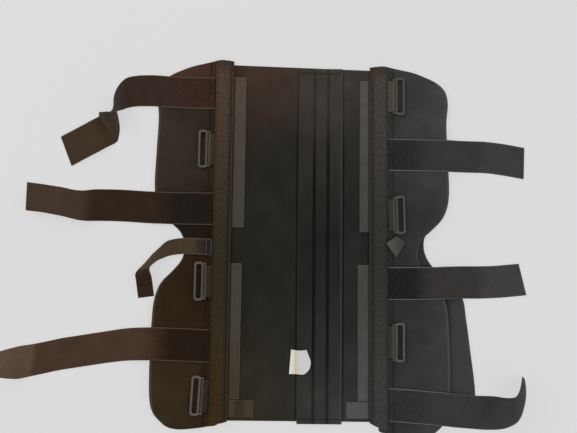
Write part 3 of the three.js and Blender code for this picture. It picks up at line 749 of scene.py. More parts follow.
def wing_finish():
    """Wing laminate with painted shade inwards and at the knee, a painted warm cast of light at the top
    left, a light cut edge and a dark tacked line.
    """
    f, pile = foam_finish("wing_laminate", WING_TONES, (-0.03, 0.07, -0.08, -0.25))
    x, y, _ = f.split(f.place)
    # Painted warm cast of light at the top left.
    left = f.stretch(x, 0.02, -0.1)
    f.tint(0.85, f.times(f.stretch(y, 0.225, 0.268), left), (76, 51, 42))
    # Painted shade, darker inwards towards the sleeve.
    out = f.sum_of("ABSOLUTE", f.split(f.pattern)[0])
    f.shade(f.stretch(out, 0.034, 0.112, 0.78, 1.12, "LINEAR"))
    # Painted shade near the knee on both wings, deeper at the knee on the left wing.
    above_knee = f.times(f.stretch(y, 0.0, 0.04), f.stretch(y, 0.14, 0.06))
    f.tint(0.22, above_knee, (0, 0, 0))
    at_knee = f.times(f.stretch(y, -0.02, 0.005), f.stretch(y, 0.06, 0.02))
    f.tint(0.5, f.times(at_knee, left), (0, 0, 0))
    f.tint(0.35, f.line(out, SLEEVE_WIDTH * MM + TACK_LINE, 0.0038), TACK_TONE)
    f.tint(0.45, f.edge(0.0045), (86, 85, 84))
    return f.done(pile, FOAM_RELIEF)


def webbing_finish():
    """Ribbed woven webbing of the keepers, with a painted highlight along the fold over the bar."""
    f = Finish("keeper_webbing", 0.86, 0.16, 0.05)
    weave = f.weave()
    f.tones(KEEPER_TONES)
    f.shade(weave["Shade"])
    # Painted highlight along the fold over the bar.
    f.tint(0.4, f.line(f.value_of("fold"), 0.0, 0.0024), (98, 96, 90))
    return f.done(weave["Height"])


def sleeve_finish():
    """Sleeve webbing: faint stripes along it, painted shade on both sides of its crown, a light piped lip
    and painted shade in the groove behind the lip.
    """
    f = Finish("sleeve_webbing", 0.86, 0.16, 0.05)
    weave = f.weave()
    across, along, _ = f.split(f.pattern)
    wave = f.sum_of("SINE", f.times(across, 2 * math.pi / 0.0042))
    stripe = f.sum_of("MULTIPLY_ADD", wave, 0.05, 1.0)
    # Painted shade on both sides of the crown.
    rise = f.stretch(across, 0.0045, 0.010, 0.84, 1.04)
    fall = f.stretch(across, 0.022, 0.028, 1.0, 0.8)
    f.tones(SLEEVE_TONES, (-0.04, 0.3, -0.02, -0.25))
    f.shade(weave["Shade"], stripe, rise, fall, f.cloud(f.pattern, 330.0, 2.0, 0.42))
    # Painted shade in the groove behind the lip.
    f.tint(0.45, f.line(across, 0.0037, 0.0017), (20, 17, 14))
    f.tint(0.35, f.line(across, 0.0016, 0.0013), (92, 82, 70))
    f.tint(0.8, f.stretch(along, 0.27, 0.293), (62, 51, 44))
    return f.done(weave["Height"])


def hook_finish(name, tones, outline, fold=None, lit=None):
    """Grey hook fastener tape with a painted shadow under the sleeve's edge; some with painted shade along
    a fold, one with a painted lit side.
    """
    f = Finish(name, 0.78, 0.2, 0.04)
    hooks = f.group(HOOKS, Vector=f.pattern, Pitch=0.0013)
    beside = f.value_of("beside")
    f.tones(tones)
    # Painted shadow of the sleeve's edge on the tape.
    f.shade(hooks["Shade"], f.stretch(beside, 0.0004, 0.0034, 0.3, 1.0))
    if fold:
        # Painted shade along the fold.
        f.tint(0.6, f.line(beside, fold, 0.0105), (37, 34, 23))
    if lit:
        bright, plain, tone = lit
        f.tint(0.75, f.stretch(f.split(f.place)[0], plain, bright), tone)
    f.tint(outline, f.edge(0.0018), (92, 90, 86))
    return f.done(hooks["Height"], FOAM_RELIEF)


def strap_finish(name, root, run, end, back, edge_tone):
    """Pile strap: a dark napped root, a plainer run, painted light and shade on its free end, another tone
    on its back, lighter woven edges with a painted highlight near the root.
    """
    f = Finish(name, 0.9, 0.12, 0.08)
    nap = f.group(NAP, Vector=f.pattern, Tuft=0.0011, Patch=0.012)
    weave = f.weave()
    napped = f.value_of("napped")
    f.colour = f.mix(napped, srgb(*run), srgb(*root))
    # Painted light and shade on the free end: lighter where it tilts up to the light, darker where it
    # turns away.
    f.tint(1.0, f.value_of("painted_light"), end)
    f.tint(1.0, f.value_of("under"), back)
    pile = f.times(nap["Shade"], f.cloud(f.pattern, 400.0, 2.0, 0.5))
    f.shade(f.mix(napped, weave["Shade"], pile), f.cloud(f.pattern, 38.0, 3.0, 0.12))
    f.tint(0.2, f.line(f.split(f.pattern)[1], TACK_LINE, 0.0038), TACK_TONE)
    # Lighter woven edges, with a painted highlight where they arch up near the root.
    f.tint(0.8, f.times(f.edge(0.0016), f.value_of("edge_tone_and_highlight")), edge_tone)
    return f.done(f.mix(napped, weave["Height"], nap["Height"]))


def ring_finish():
    """Dark coated metal in fine specks, with a painted highlight in patches along the crests of its bars.
    """
    f = Finish("ring_metal", 0.36, 0.3)
    specks = f.stretch(f.grain(f.place, 1500.0, 3.0, 0.6), 0.35, 0.75)
    f.colour = f.mix(specks, srgb(30, 28, 25), srgb(42, 40, 36))
    highlight_patches = f.stretch(f.grain(f.place, 160.0, 3.0), 0.2, 0.45, 0.4, 1.0)
    # Painted highlight along the crests of the bars.
    f.tint(0.9, f.times(f.value_of("crest_highlight"), highlight_patches), (168, 160, 143))
    f.feed(f.shader["Roughness"], f.stretch(specks, 0.0, 1.0, 0.3, 0.46))
    f.shader["Metallic"].default_value = 0.1
    return f.done()


def label_finish():
    """White woven label, folded and yellowed where it climbs the pocket's seam, with painted shade along
    the crease.
    """
    f = Finish("label_cloth", 0.85, 0.2)
    weave = f.weave(0.0007, 0.0006)
    x = f.split(f.place)[0]
    f.colour = f.mix(f.stretch(x, -0.0372, -0.0362), srgb(236, 237, 235), srgb(218, 221, 219))
    age = f.stretch(f.grain(f.place, 110.0, 3.0, 0.6), 0.3, 0.6, 0.4, 1.0)
    f.tint(0.75, f.times(age, f.line(x, -0.0375, 0.0052)), (228, 214, 160))
    # Painted shade along the crease of the fold.
    f.tint(0.3, f.line(x, -0.0366, 0.0009), (140, 134, 116))
    f.shade(f.stretch(weave["Shade"], 0.6, 1.4, 0.92, 1.06, "LINEAR"))
    return f.done(weave["Height"], 0.0001)


def thread_finish():
    """Dark sewing thread."""
    f = Finish("sewing_thread", 0.7, 0.25)
    lot = f.stretch(f.grain(f.place, 700.0, 2.0), 0.3, 0.7)
    f.colour = f.mix(lot, srgb(26, 25, 23), srgb(52, 49, 45))
    return f.done()


def floor_finish():
    """Pale paper, evenly lit from behind so that shadows stay faint."""
    f = Finish("pale_floor", 0.95, 0.1)
    f.shader["Emission Color"].default_value = FLOOR_GLOW
    f.shader["Emission Strength"].default_value = 1.0
    f.colour = FLOOR_TONE
    return f.done()


FLOOR_TONE = (0.16, 0.16, 0.16, 1)
FLOOR_GLOW = (0.573, 0.574, 0.579, 1)

# Tones of the wide pieces, dye with painted light falloff and cast: left and right at the calf end, knee
# and thigh end
BASE_TONES = (((66, 47, 34), (69, 63, 58)), ((34, 32, 25), (36, 38, 35)), ((47, 40, 23), (53, 55, 55)))
POCKET_TONES = (((60, 50, 43), (65, 62, 56)), ((33, 34, 29), (29, 31, 30)), ((56, 54, 48), (55, 57, 56)))
WING_TONES = (((53, 44, 35), (64, 63, 63)), ((46, 31, 14), (51, 51, 52)), ((54, 42, 24), (57, 57, 59)))
SLEEVE_TONES = (((84, 66, 53), (74, 71, 63)), ((49, 43, 25), (53, 51, 46)), ((58, 43, 10), (65, 64, 62)))
KEEPER_TONES = (((72, 62, 49), (84, 80, 72)), ((56, 48, 34), (64, 62, 57)), ((50, 44, 33), (62, 61, 58)))
HOOK_TONES = (((87, 75, 65), (92, 89, 83)), ((75, 71, 61), (77, 77, 74)), ((68, 57, 36), (89, 90, 89)))
LEFT_TAB_TONES = (((75, 62, 45),) * 2,) * 3
RIGHT_TAB_TONES = (((90, 90, 91),) * 2,) * 3
KNEE_TAB_TONES = (((74, 72, 66),) * 2,) * 3
LEFT_TAB_FOLD = 0.018
KNEE_TAB_LIT = (0.101, 0.124, (96, 94, 88))

BASE_FOAM = base_finish()
POCKET_FOAM = pocket_finish()
WING_FOAM = wing_finish()
WEBBING = webbing_finish()
SLEEVE_WEBBING = sleeve_finish()
HOOK_TAPE = hook_finish("hook_tape", HOOK_TONES, 0.4)
TAB_TAPES = {
    "left": hook_finish("left_tab_tape", LEFT_TAB_TONES, 0.15, fold=LEFT_TAB_FOLD),
    "right": hook_finish("right_tab_tape", RIGHT_TAB_TONES, 0.15),
}
KNEE_TAB_TAPE = hook_finish("knee_tab_tape", KNEE_TAB_TONES, 0.3, lit=KNEE_TAB_LIT)
RING_METAL = ring_finish()
LABEL_CLOTH = label_finish()
THREAD = thread_finish()

# Strap tones: napped root, run, end with painted light and shade, back and woven edge with its painted
# highlight
STRAP_TONES = {
    "left_strap_1": ((55, 36, 28), (57, 43, 34), (57, 43, 34), (69, 55, 38), (106, 92, 78)),
    "left_strap_2": ((28, 22, 13), (51, 35, 22), (73, 57, 44), (54, 44, 35), (100, 84, 70)),
    "left_strap_3": ((35, 22, 9), (79, 57, 43), (102, 81, 63), (54, 44, 35), (100, 82, 66)),
    "knee_strap": ((44, 40, 35), (74, 63, 45), (50, 30, 10), (60, 49, 34), (104, 92, 74)),
    "right_strap_1": ((41, 40, 40), (59, 59, 59), (66, 66, 66), (56, 56, 56), (122, 121, 121)),
    "right_strap_2": ((30, 29, 27), (60, 56, 56), (71, 68, 69), (56, 56, 56), (122, 118, 118)),
    "right_strap_3": ((48, 48, 48), (62, 62, 64), (69, 69, 71), (66, 66, 68), (118, 118, 120)),
}


# Base panel, pocket and label
BASE_STEP = 7.5
BASE_COLUMNS = 64
BASE_SPAN = (440.0, 550.0)
BASE_CROWN = 0.9
# Strips across the base where nothing lies on it: from, soft over, to, soft over
BASE_OPEN = ((-119, 12, -44, 8), (38, 6, 58, 5))
BASE_OPEN_END = 262
BASE_OPEN_SOFT = 20
# Where the base has a painted glow of light: past the right wing, and less so in the knee notch
PAST_WING = (196, 8)
BELOW_NOTCH = (-40, -30)
IN_NOTCH = (140, 10)
NOTCH_SPAN = (-72, 15, 32, 15)
NOTCH_SHARE = 0.6


def make_base():
    left = [(-half, along + skew * half) for along, half, _, skew in BASE]
    right = [(half, along - skew * half) for along, _, half, skew in BASE]
    plan, rows = between(left, right, BASE_STEP)
    face = partial(level_face, plan)
    piece, u, v = slab("base_panel_cloth", BASE_COLUMNS, rows, face, (BASE_TOP, 0.0), plan)
    x, y = plan(u, v).T
    across = np.max([window(x, *strip) for strip in BASE_OPEN], axis=0)
    free = across * rise(np.abs(y), BASE_OPEN_END, -BASE_OPEN_SOFT)
    uneven = ripple(x, y, "base") + ripple(x, y, "base_fine")
    fill_out(piece, free, FOAM_PRESSURE, BASE_CROWN, uneven)
    mark(piece, "inset", edge_inset(u, v, *BASE_SPAN))
    # Painted glow of light on the base past the right wing, less in the knee notch.
    past_wing = rise(x, *PAST_WING) * rise(y, *BELOW_NOTCH)
    in_notch = NOTCH_SHARE * rise(x, *IN_NOTCH) * window(y, *NOTCH_SPAN)
    mark(piece, "outer", np.maximum(past_wing, in_notch))
    round_edges(piece, FOAM_RIM, 3)
    dress(piece, BASE_FOAM, ["base_panel"])


POCKET_STEPS = (0, 0.03, 0.07, 0.13, 0.22, 0.35, 0.5, 0.65, 0.78, 0.87, 0.93, 0.97)
POCKET_STEP = 5.0
POCKET_LOW = ON_BASE + POCKET_EDGE
# Share of its crown that the pocket has before it swells
POCKET_START = 0.45
POCKET_HELD = 3


def pocket_level(x):
    """Level of the pocket's face across it: a low crown in each channel between the seams."""
    seams = np.array(POCKET_SEAMS)
    channel = np.clip(np.searchsorted(seams, x, side="right") - 1, 0, len(seams) - 2)
    across = np.clip(2 * (x - seams[channel]) / (seams[channel + 1] - seams[channel]) - 1, -1, 1)
    return POCKET_LOW + POCKET_BULGE * (1 - across**4)


def make_pocket():
    channels = zip(POCKET_SEAMS, POCKET_SEAMS[1:])
    stations = [a + (b - a) * share for a, b in channels for share in POCKET_STEPS]
    stations.append(POCKET_SEAMS[-1])
    rows = round((POCKET_TOP - POCKET_FOOT) / POCKET_STEP)

    def plan(u, v):
        return np.column_stack([spread(stations, u), POCKET_FOOT + (POCKET_TOP - POCKET_FOOT) * v])

    def from_end(y):
        return np.minimum(POCKET_TOP - y, y - POCKET_FOOT)

    def face(height, u, v):
        x, y = plan(u, v).T
        share = POCKET_START
        crown = (pocket_level(x) - POCKET_LOW) * rise(from_end(y), 0, POCKET_HEM) * share
        return level_face(plan, ON_BASE + height * (POCKET_EDGE + crown), u, v)

    piece, u, v = slab("stay_pocket_cloth", len(stations) - 1, rows, face, (1.0, 0.0), plan)
    x, y = plan(u, v).T
    seam = np.min([np.abs(x - s) for s in POCKET_SEAMS], axis=0)
    free = np.where(seam < 0.1, 0, 1) * rise(from_end(y), POCKET_HELD, POCKET_HEM)
    cap = (1 - POCKET_START) * POCKET_BULGE
    fill_out(piece, free, POCKET_PRESSURE, cap, ripple(x * 3, y, "pocket"))
    apply_modifier(piece, "SUBSURF", levels=1, render_levels=1)
    dress(piece, POCKET_FOAM, ["stay_pocket"])


LABEL_GRID = (26, 30)
LABEL_SEAT = 2 * GAP + 0.25
# How high the label's right edge and its foot curl
LABEL_CURL = (1.5, 0.5)


def make_label():
    stations, left, right = np.array(LABEL, float)[::-1].T

    def plan(u, v):
        a, b = (through(np.column_stack([side, stations]), v) for side in (left, right))
        flat = a + (b - a) * u[:, None]
        flat[:, 1] -= LABEL_DIP * np.sin(math.pi * u) * rise(v, 0.6, 0.4)
        return flat

    def ground(x):
        return np.where(x > POCKET_SEAMS[0], pocket_level(x), BASE_TOP)

    def face(lift, u, v):
        x, y = plan(u, v).T
        reach = np.linspace(-LABEL_CLIMB, LABEL_CLIMB, 9)
        seat = np.maximum(np.mean([ground(x + r) for r in reach], axis=0), ground(x))
        curl = LABEL_CURL[0] * rise(u, 0.72, 0.28) ** 2 + LABEL_CURL[1] * rise(v, 0.2, -0.2)
        return level_face(plan, seat + LABEL_SEAT + curl + ripple(x, y, "label") + lift, u, v)

    piece, _, _ = slab("label_cloth_piece", *LABEL_GRID, face, (LABEL_THICKNESS, 0.0), plan)
    round_edges(piece, LABEL_RIM)
    dress(piece, LABEL_CLOTH, ["label"])


# Side panels
WING_STEP = 5.0
WING_COLUMNS = 22
WING_SPAN = (100.0, 570.0)
WING_CROWN = 0.8
BASE_COLUMN = {"left": 1, "right": 2}
# Held places on a wing: margins beside a strap, round a ring and round the knee tab
STRAP_HELD = 2
RING_HELD = 15
RING_MIDDLE = 6
TAB_HELD = 20
# Width over which a held place turns free
HELD_SOFT = 9


def panel_place(spec, x, y):
    """Plan points from a side panel's own frame to the whole part's."""
    lean = math.radians(spec["lean"])
    turned_x = x * math.cos(lean) - y * math.sin(lean)
    turned_y = x * math.sin(lean) + y * math.cos(lean)
    return np.column_stack([turned_x + spec["side"] * spec["inner"], turned_y + spec["notch"]])


def wing_free(spec, x, y):
    """Where a wing may swell: nowhere under its straps, rings, keepers and knee tab."""
    free = np.ones(len(x))
    for name, (width, _, rows) in STRAPS.items():
        if name.startswith(spec["name"]) or (name == "knee_strap" and spec["name"] == "left"):
            line = np.array(sorted(row[:2] for row in rows[:6]))
            centre = np.interp(x, line[:, 0], line[:, 1])
            free *= rise(np.abs(y - centre) - width / 2, STRAP_HELD, HELD_SOFT)
    for along, out, _ in spec["rings"]:
        across = spec["side"] * (SLEEVE_WIDTH + out + RING_MIDDLE)
        middle = panel_place(spec, np.array([across]), np.array([along]))[0]
        off = np.maximum(np.abs(x - middle[0]) - RING_HELD, np.abs(y - middle[1]) - RING_LENGTH / 2)
        free *= rise(off, 0, HELD_SOFT)
    if spec["name"] == "right":
        free *= rise(np.hypot(x - TAB_MIDDLE[0], y - TAB_MIDDLE[1]), TAB_HELD, HELD_SOFT)
    return free


def make_wing(spec):
    side = spec["side"]
    near = [(side * (SLEEVE_WIDTH + WING_FOOT.get(along, -WING_LAP)), along) for along, _ in WING]
    far = [(side * (SLEEVE_WIDTH + reach + spec["trim"]), along) for along, reach in WING]
    own, rows = between(near, far, WING_STEP)
    base = np.array(BASE, float)[::-1]

    def face(lift, u, v):
        x, y = own(u, v).T
        edge = np.interp(y + spec["notch"], base[:, 0], base[:, BASE_COLUMN[spec["name"]]])
        over = np.abs(x) + spec["inner"] - edge
        level = ON_BASE - WING_SAG * rise(over, SAG_START, SAG_SPAN)
        return np.column_stack([panel_place(spec, x, y), level + lift])

    lifts = (WING_THICKNESS, 0.0)
    piece, u, v = slab(f"{spec['name']}_wing_cloth", WING_COLUMNS, rows, face, lifts, own)
    x, y, _ = face(0.0, u, v).T
    inset = edge_inset(u, v, *WING_SPAN)
    free = wing_free(spec, x, y) * rise(inset / MM, 0, HELD_SOFT) * rise(u, 0.16, 0.08)
    fill_out(piece, free, FOAM_PRESSURE, WING_CROWN, ripple(x, y, spec["name"] + "_wing"))
    mark(piece, "inset", inset)
    round_edges(piece, FOAM_RIM, 3)
    dress(piece, WING_FOAM, [f"{spec['name']}_wing"])


SLEEVE_COLUMNS = 28
SLEEVE_ROWS = 113
SLEEVE_SHELF = 13.8


def make_sleeve(spec):
    table = np.linspace(0, SLEEVE_WIDTH, 400)
    crown = np.interp(table, *np.transpose(SLEEVE))
    soft = np.convolve(np.pad(crown, 12, mode="edge"), np.ones(25) / 25, mode="valid")

    def pattern(u, v):
        foot = spec["foot"][0] + (spec["foot"][1] - spec["foot"][0]) * u
        return np.column_stack([u * SLEEVE_WIDTH, foot + (SLEEVE_TOP - foot) * v])

    def face(height, u, v):
        x, y = pattern(u, v).T
        under = np.where(x < SLEEVE_SHELF, OVER_HOOKS, ON_WING)
        place = panel_place(spec, spec["side"] * x, y)
        end = np.minimum(SLEEVE_TOP - y, y - pattern(u, np.zeros(len(u)))[:, 1])
        crest = (np.interp(x, table, soft) - under) * (0.7 + 0.3 * rise(end, 0, 4))
        wave = ripple(place[:, 0] * 2, place[:, 1], "sleeve") * rise(u, 0.25, 0.2)
        return np.column_stack([place, under + height * (crest + wave)])

    name = f"{spec['name']}_stay_sleeve"
    piece, _, _ = slab(name + "_webbing", SLEEVE_COLUMNS, SLEEVE_ROWS, face, (1.0, 0.0), pattern)
    round_edges(piece, TAPE_RIM)
    dress(piece, SLEEVE_WEBBING, [name])


def make_tape(spec, node, high, low, shown, finish):
    """A flat strip of fastener that shows beside the sleeve and runs in under it."""
    width = shown + HOOK_HIDDEN

    def plan(u, v):
        return panel_place(spec, spec["side"] * (HOOK_HIDDEN - width * u), low + (high - low) * v)

    def face(lift, u, v):
        wave = ripple(*plan(u, v).T, "tape") * rise(u, 0.5, 0.2)
        return level_face(plan, ON_BASE + lift + np.maximum(wave, -0.1), u, v)

    columns, rows = round(width / 3), max(6, round((high - low) / 4))
    piece, u, v = slab(node + "_tape", columns, rows, face, (HOOK_THICKNESS, 0.0), plan)
    mark(piece, "inset", edge_inset(u, v, width, high - low))
    mark(piece, "beside", (width * u - HOOK_HIDDEN) * MM)
    round_edges(piece, TAPE_RIM)
    dress(piece, finish, [node])


def ring_matrix(spec, along, out, turn):
    """Place of a ring's captive bar in the whole part, in millimetres."""
    own = Matrix.Translation((spec["side"] * (SLEEVE_WIDTH + out), along, 0))
    lean = Matrix.Rotation(math.radians(spec["lean"]), 4, "Z")
    shift = Matrix.Translation((spec["side"] * spec["inner"], spec["notch"], PIVOT_HEIGHT))
    facing = math.pi if spec["side"] < 0 else 0.0
    return shift @ lean @ own @ Matrix.Rotation(facing + math.radians(turn), 4, "Z")


KEEPER_STEP = 1.1
KEEPER_COLUMNS = 14


def keeper_path(back):
    """The folded line of a keeper's webbing, as out and up from the ring's bar."""
    radius = KEEPER_EYE + KEEPER_WALL / 2
    high = KEEPER_WALL + GAP - radius
    turns = np.radians(np.linspace(-90, KEEPER_WRAP, 17))
    loop = [(radius * math.cos(a), radius * math.sin(a)) for a in turns]
    return [(-back, -radius), (-back / 2, -radius), *loop, (-KEEPER_NECK, high), (-back, high)]


def make_keeper(spec, name, along, out, turn):
    back = out - GAP - KEEPER_WIDTH / 2 * abs(math.tan(math.radians(turn)))
    path = keeper_path(back)
    place_of = np.array(ring_matrix(spec, along, out, turn))
    shares = even_shares((path,), KEEPER_STEP)
    length = steps_of(path).sum()

    def face(lift, u, v):
        at = spread(shares, v)
        line = through(path, at)
        ahead = ahead_of(path, at, 1e-3)
        ahead /= lengths(ahead)
        out_x, up = line[:, 0] + ahead[:, 1] * lift, line[:, 1] - ahead[:, 0] * lift
        local = np.column_stack([out_x, (u - 0.5) * KEEPER_WIDTH, up, np.ones(len(u))])
        return (local @ place_of.T)[:, :3]

    def pattern(u, v):
        return np.column_stack([u * KEEPER_WIDTH, v * length])

    lifts = (KEEPER_WALL / 2, -KEEPER_WALL / 2)
    piece, _, v = slab(name + "_webbing", KEEPER_COLUMNS, len(shares) - 1, face, lifts, pattern)
    over_bar = back + math.pi * (KEEPER_EYE + KEEPER_WALL / 2)
    mark(piece, "fold", (v * length - over_bar) * MM)
    round_edges(piece, KEEPER_RIM)
    dress(piece, WEBBING, [name])


# Rings
CUT_PAST = 5.0
LOOP_HIGHLIGHT = 0.06
RING_ROUND = 1.2
LOOP_ROUND = 0.6
RING_HIGHLIGHT = {"left": (0.1, 0.11, 0.15), "right": (0.11, 0.1, 0.13)}


def block(name, low, high, corner=0, past=0):
    """A block in millimetres between two corners, with its upright edges past a line in X rounded."""
    low, high = Vector(low), Vector(high)
    bpy.ops.mesh.primitive_cube_add(size=1)
    piece = bpy.context.object
    piece.name = name
    edit_all(piece)
    bpy.ops.mesh.select_mode(type="EDGE")
    bpy.ops.transform.resize(value=high - low)
    bpy.ops.transform.translate(value=(low + high) / 2)
    bpy.ops.mesh.select_all(action="DESELECT")
    bpy.ops.object.mode_set(mode="OBJECT")
    if corner:
        for line in piece.data.edges:
            a, b = (piece.data.vertices[i].co for i in line.vertices)
            line.select = abs(a.z - b.z) > 0.1 and a.x > past
        bpy.ops.object.mode_set(mode="EDIT")
        bpy.ops.mesh.bevel(offset=corner, segments=6, affect="EDGES")
        bpy.ops.object.mode_set(mode="OBJECT")
    return piece


def cut(piece, tool, operation):
    apply_modifier(piece, "BOOLEAN", object=tool, operation=operation, solver="EXACT")
    bpy.data.objects.remove(tool)


def model_ring():
    """One ring in millimetres: its captive bar along Y at the origin, its slot outward along X."""
    half, thick, slot_half = RING_LENGTH / 2, RING_THICKNESS / 2, RING_SLOT_LENGTH / 2
    body = block("ring_model", (RING_BACK, -half, -thick), (RING_REACH, half, thick), RING_CORNER)
    low, high = (RING_SLOT[0], -slot_half, -CUT_PAST), (RING_SLOT[1], slot_half, CUT_PAST)
    cut(body, block("slot_tool", low, high, RING_SLOT_CORNER), "DIFFERENCE")
    level = thick - RAIL_STEP
    for low, high in ((-RAIL_OUTER, -RAIL_INNER), (RAIL_INNER, RAIL_OUTER)):
        cut(body, block("rail", (-RING_HEEL, low, -level), (RING_BACK + BAR_SEAT, high, level)), "UNION")
    round_edges(body, RING_ROUND, 4, SMOOTH_ANGLE)
    bpy.ops.mesh.primitive_cylinder_add(
        vertices=24, radius=RING_BAR, depth=2 * (RAIL_INNER + BAR_SEAT), rotation=(math.pi / 2, 0, 0)
    )
    cut(body, bpy.context.object, "UNION")
    return body


def mark_crest_highlight(piece, share):
    """Marks the crests of the bars for a painted highlight, most at the rounded ends."""
    normals = np.zeros(len(piece.data.vertices) * 3)
    piece.data.vertex_normals.foreach_get("vector", normals)
    up = np.abs(normals.reshape(-1, 3)[:, 2])
    along = read_points(piece.data)[:, 1]
    middle = (along.min() + along.max()) / 2
    to_end = 2 * np.abs(along - middle) / (along.max() - along.min())
    painted_light = share * (1 + 0.8 * rise(to_end, 0.72, 0.2))
    mark(piece, "crest_highlight", np.minimum(painted_light, 1) * rise(up, 0.86, 0.12))


def make_rings():
    model = model_ring()
    for spec in PANELS:
        for number, ring in enumerate(spec["rings"], 1):
            name = f"{spec['name']}_ring_{number}"
            mesh = model.data.copy()
            mesh.transform(Matrix.Scale(MM, 4) @ ring_matrix(spec, *ring))
            piece = bpy.data.objects.new(name + "_metal", mesh)
            bpy.context.scene.collection.objects.link(piece)
            mark_crest_highlight(piece, RING_HIGHLIGHT[spec["name"]][number - 1])
            dress(piece, RING_METAL, [name], name)
            make_keeper(spec, f"{spec['name']}_keeper_{number}", *ring)
    bpy.data.objects.remove(model)


def make_knee_loop():
    wide, half, thick = LOOP_WIDTH / 2, LOOP_LENGTH / 2, LOOP_THICKNESS / 2
    past = -wide - 1
    piece = block("knee_loop_metal", (-wide, -half, -thick), (wide, half, thick), LOOP_CORNER, past)
    inner, inner_half = wide - LOOP_BAR, half - LOOP_BAR
    low, high = (-inner, -inner_half, -CUT_PAST), (inner, inner_half, CUT_PAST)
    cut(piece, block("loop_tool", low, high, LOOP_CORNER / 2, past), "DIFFERENCE")
    round_edges(piece, LOOP_ROUND, 4, SMOOTH_ANGLE)
    level = ON_WING + STRAP_THICKNESS + GAP + thick
    piece.data.transform(Matrix.Scale(MM, 4) @ Matrix.Translation((*LOOP_PLACE, level)))
    mark_crest_highlight(piece, LOOP_HIGHLIGHT)
    dress(piece, RING_METAL, ["knee_loop"])


# Straps and knee tab
STRAP_STEP = 3.2
# Where the painted light and shade on a strap's end starts and over what share of its length: two start at
# a fold
PAINTED_END_LIGHT = {"knee_strap": (0.706, 0.016), "left_strap_3": (0.82, 0.025)}
PLAIN_PAINTED_END_LIGHT = (0.62, 0.12)


def make_strap(name, width, napped, rows):
    rows = np.array(rows, float)
    centres = rows[:, :3]
    turn, tilt = np.radians(rows[:, 3:]).T
    ways = np.column_stack([np.cos(turn) * np.cos(tilt), np.sin(turn) * np.cos(tilt), np.sin(tilt)])
    shares = even_shares((centres,), STRAP_STEP)
    length = steps_of(centres).sum()

    def frame_at(v):
        at = spread(shares, v)
        way = through(ways, at, even=True)
        way /= lengths(way)
        normal = np.cross(ahead_of(centres, at, 2e-3), way)
        return through(centres, at), way, normal / lengths(normal)

    upwards = 1.0 if frame_at(np.array([0.02]))[2][0, 2] > 0 else -1.0

    def face(lift, u, v):
        centre, way, normal = frame_at(v)
        across = (u - 0.5) * width
        edge = ripple(v * length, np.sign(across) * 40, "strap_edge")
        across = across + edge * np.abs(2 * u - 1)
        return centre + way * across[:, None] + normal * (upwards * lift)

    def pattern(u, v):
        return np.column_stack([(u - 0.5) * width, v * length])

    columns = max(6, round(width / STRAP_STEP))
    lifts = (STRAP_THICKNESS / 2, -STRAP_THICKNESS / 2)
    piece, u, v = slab(name + "_webbing", columns, len(shares) - 1, face, lifts, pattern)
    gone = v * length
    fray = ripple(u * width, gone, "fray")
    mark(piece, "napped", rise(1.35 * napped - gone + fray, 0, 0.7 * napped))
    start, soft = PAINTED_END_LIGHT.get(name, PLAIN_PAINTED_END_LIGHT)
    mark(piece, "painted_light", rise(v, start, soft))
    mark(piece, "inset", np.minimum(np.minimum(u, 1 - u) * width, (1 - v) * length) * MM)
    # Share of the edge's painted highlight: full near the root, less further out.
    mark(piece, "edge_tone_and_highlight", 1 - 0.65 * rise(gone, 70, 40))
    round_edges(piece, TAPE_RIM)
    dress(piece, strap_finish(name + "_pile", *STRAP_TONES[name]), [name])


TAB_GRID = (12, 12)
TAB_SPAN = (24.0, 24.0)
TAB_CROWN = 0.35


def make_knee_tab():
    top, left, bottom, right = (np.array(c) for c in TAB_CORNERS)
    slope = math.radians(TAB_SLOPE)

    def plan(u, v):
        u, v = u[:, None], v[:, None]
        return left * (1 - u) * (1 - v) + bottom * u * (1 - v) + top * (1 - u) * v + right * u * v

    def face(lift, u, v):
        x, y = plan(u, v).T
        level = lift + TAB_CROWN * (1 - np.abs(u + v - 1)) ** 2
        turned_x = x * math.cos(slope) + level * math.sin(slope)
        z = -x * math.sin(slope) + level * math.cos(slope)
        return np.column_stack([turned_x, y, z]) + np.array(TAB_MIDDLE)

    lifts = (TAB_THICKNESS / 2, -TAB_THICKNESS / 2)
    piece, u, v = slab("knee_tab_webbing", *TAB_GRID, face, lifts, plan)
    mark(piece, "inset", edge_inset(u, v, *TAB_SPAN))
    mark(piece, "beside", [1.0])
    round_edges(piece, TAB_RIM)
    dress(piece, KNEE_TAB_TAPE, ["knee_tab"])


# Sewing
STITCH_LENGTH = 2.6
STITCH_PITCH = 4.0
STITCH_RADIUS = 0.28
# Seams of a sleeve: distance from its inner edge and level
SLEEVE_SEAMS = ((2.0, 10.55), (24.6, 15.05))
# How far seams lie in from the sides of the pocket and hook strips, and stop short of the ends
POCKET_SEAM_IN = 1.1
HOOK_SEAM_IN = 2.0
POCKET_SHORT = 12
SLEEVE_SHORT = 5
HOOK_SHORT = 3
# How far the thread lies over a groove and over a face
OVER_GROOVE = 0.12
OVER_FACE = 0.1


def stitch_line(start, end):
    """Places and directions of the stitches along a straight seam."""
    start, end = np.array(start, float), np.array(end, float)
    run = np.linalg.norm(end - start)
    count = max(1, int(run / STITCH_PITCH))
    shares = (np.arange(count) + 0.5) / count
    return [(start + (end - start) * s, (end - start) / run) for s in shares]


def panel_seam(spec, across, low, high, level):
    """Stitches along a side panel."""
    ends = panel_place(spec, np.full(2, spec["side"] * across), np.array([low, high]))
    return stitch_line((*ends[0], level), (*ends[1], level))


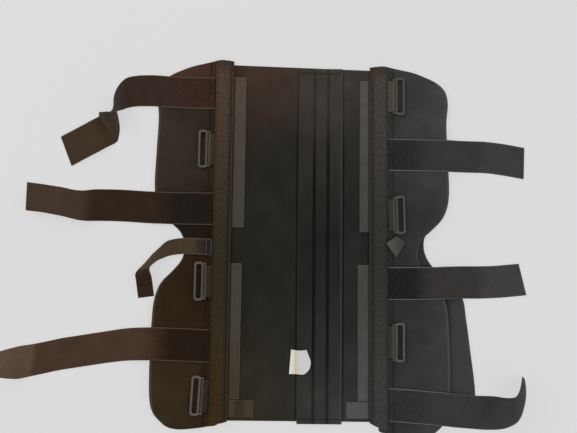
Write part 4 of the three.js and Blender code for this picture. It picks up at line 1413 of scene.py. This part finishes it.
def seam_places():
    found = []
    seams = [(x, POCKET_LOW + OVER_GROOVE) for x in POCKET_SEAMS[1:-1]]
    for x in (POCKET_SEAMS[0] + POCKET_SEAM_IN, POCKET_SEAMS[-1] - POCKET_SEAM_IN):
        seams.append((x, float(pocket_level(np.array([x]))[0]) + OVER_FACE))
    for x, level in seams:
        found += stitch_line((x, POCKET_FOOT + POCKET_SHORT, level), (x, POCKET_TOP - POCKET_SHORT, level))
    for spec in PANELS:
        inner_foot, outer_foot = spec["foot"]
        for across, level in SLEEVE_SEAMS:
            foot = inner_foot + (outer_foot - inner_foot) * across / SLEEVE_WIDTH
            found += panel_seam(spec, across, foot + SLEEVE_SHORT, SLEEVE_TOP - SLEEVE_SHORT, level)
        level = ON_BASE + HOOK_THICKNESS + OVER_FACE
        for _, high, low, shown in spec["hooks"]:
            found += panel_seam(spec, HOOK_SEAM_IN - shown, low + HOOK_SHORT, high - HOOK_SHORT, level)
    return found


def make_stitches():
    bpy.ops.mesh.primitive_uv_sphere_add(segments=6, ring_count=4, radius=1)
    model = bpy.context.object
    ball = read_points(model.data)
    faces = [list(p.vertices) for p in model.data.polygons]
    bpy.data.objects.remove(model)
    size = np.array([STITCH_LENGTH / 2, STITCH_RADIUS, STITCH_RADIUS])
    up = np.array([0.0, 0.0, 1.0])
    points, polygons = [], []
    for number, (place, way) in enumerate(seam_places()):
        lean = 0.12 * math.sin(number * 2.4)
        way = way * math.cos(lean) + np.cross(up, way) * math.sin(lean)
        own = (ball * size) @ np.array([way, np.cross(up, way), up])
        base = number * len(ball)
        points.append((place + own) * MM)
        polygons += [[base + i for i in face] for face in faces]
    mesh = bpy.data.meshes.new("seam_stitches")
    mesh.from_pydata(np.concatenate(points).tolist(), [], polygons)
    piece = bpy.data.objects.new("seam_stitches", mesh)
    bpy.context.scene.collection.objects.link(piece)
    dress(piece, THREAD, [])


set_camera()
set_light()
lay_floor(floor_finish())
make_base()
make_pocket()
make_label()
for panel in PANELS:
    make_wing(panel)
    make_sleeve(panel)
    for tape, *tape_size in panel["hooks"]:
        make_tape(panel, f"{panel['name']}_{tape}_hook_strip", *tape_size, HOOK_TAPE)
    make_tape(panel, f"{panel['name']}_end_tab", *panel["tab"], TAB_TAPES[panel["name"]])
make_rings()
make_knee_loop()
for strap, (strap_width, napped_length, strap_rows) in STRAPS.items():
    make_strap(strap, strap_width, napped_length, strap_rows)
make_knee_tab()
make_stitches()
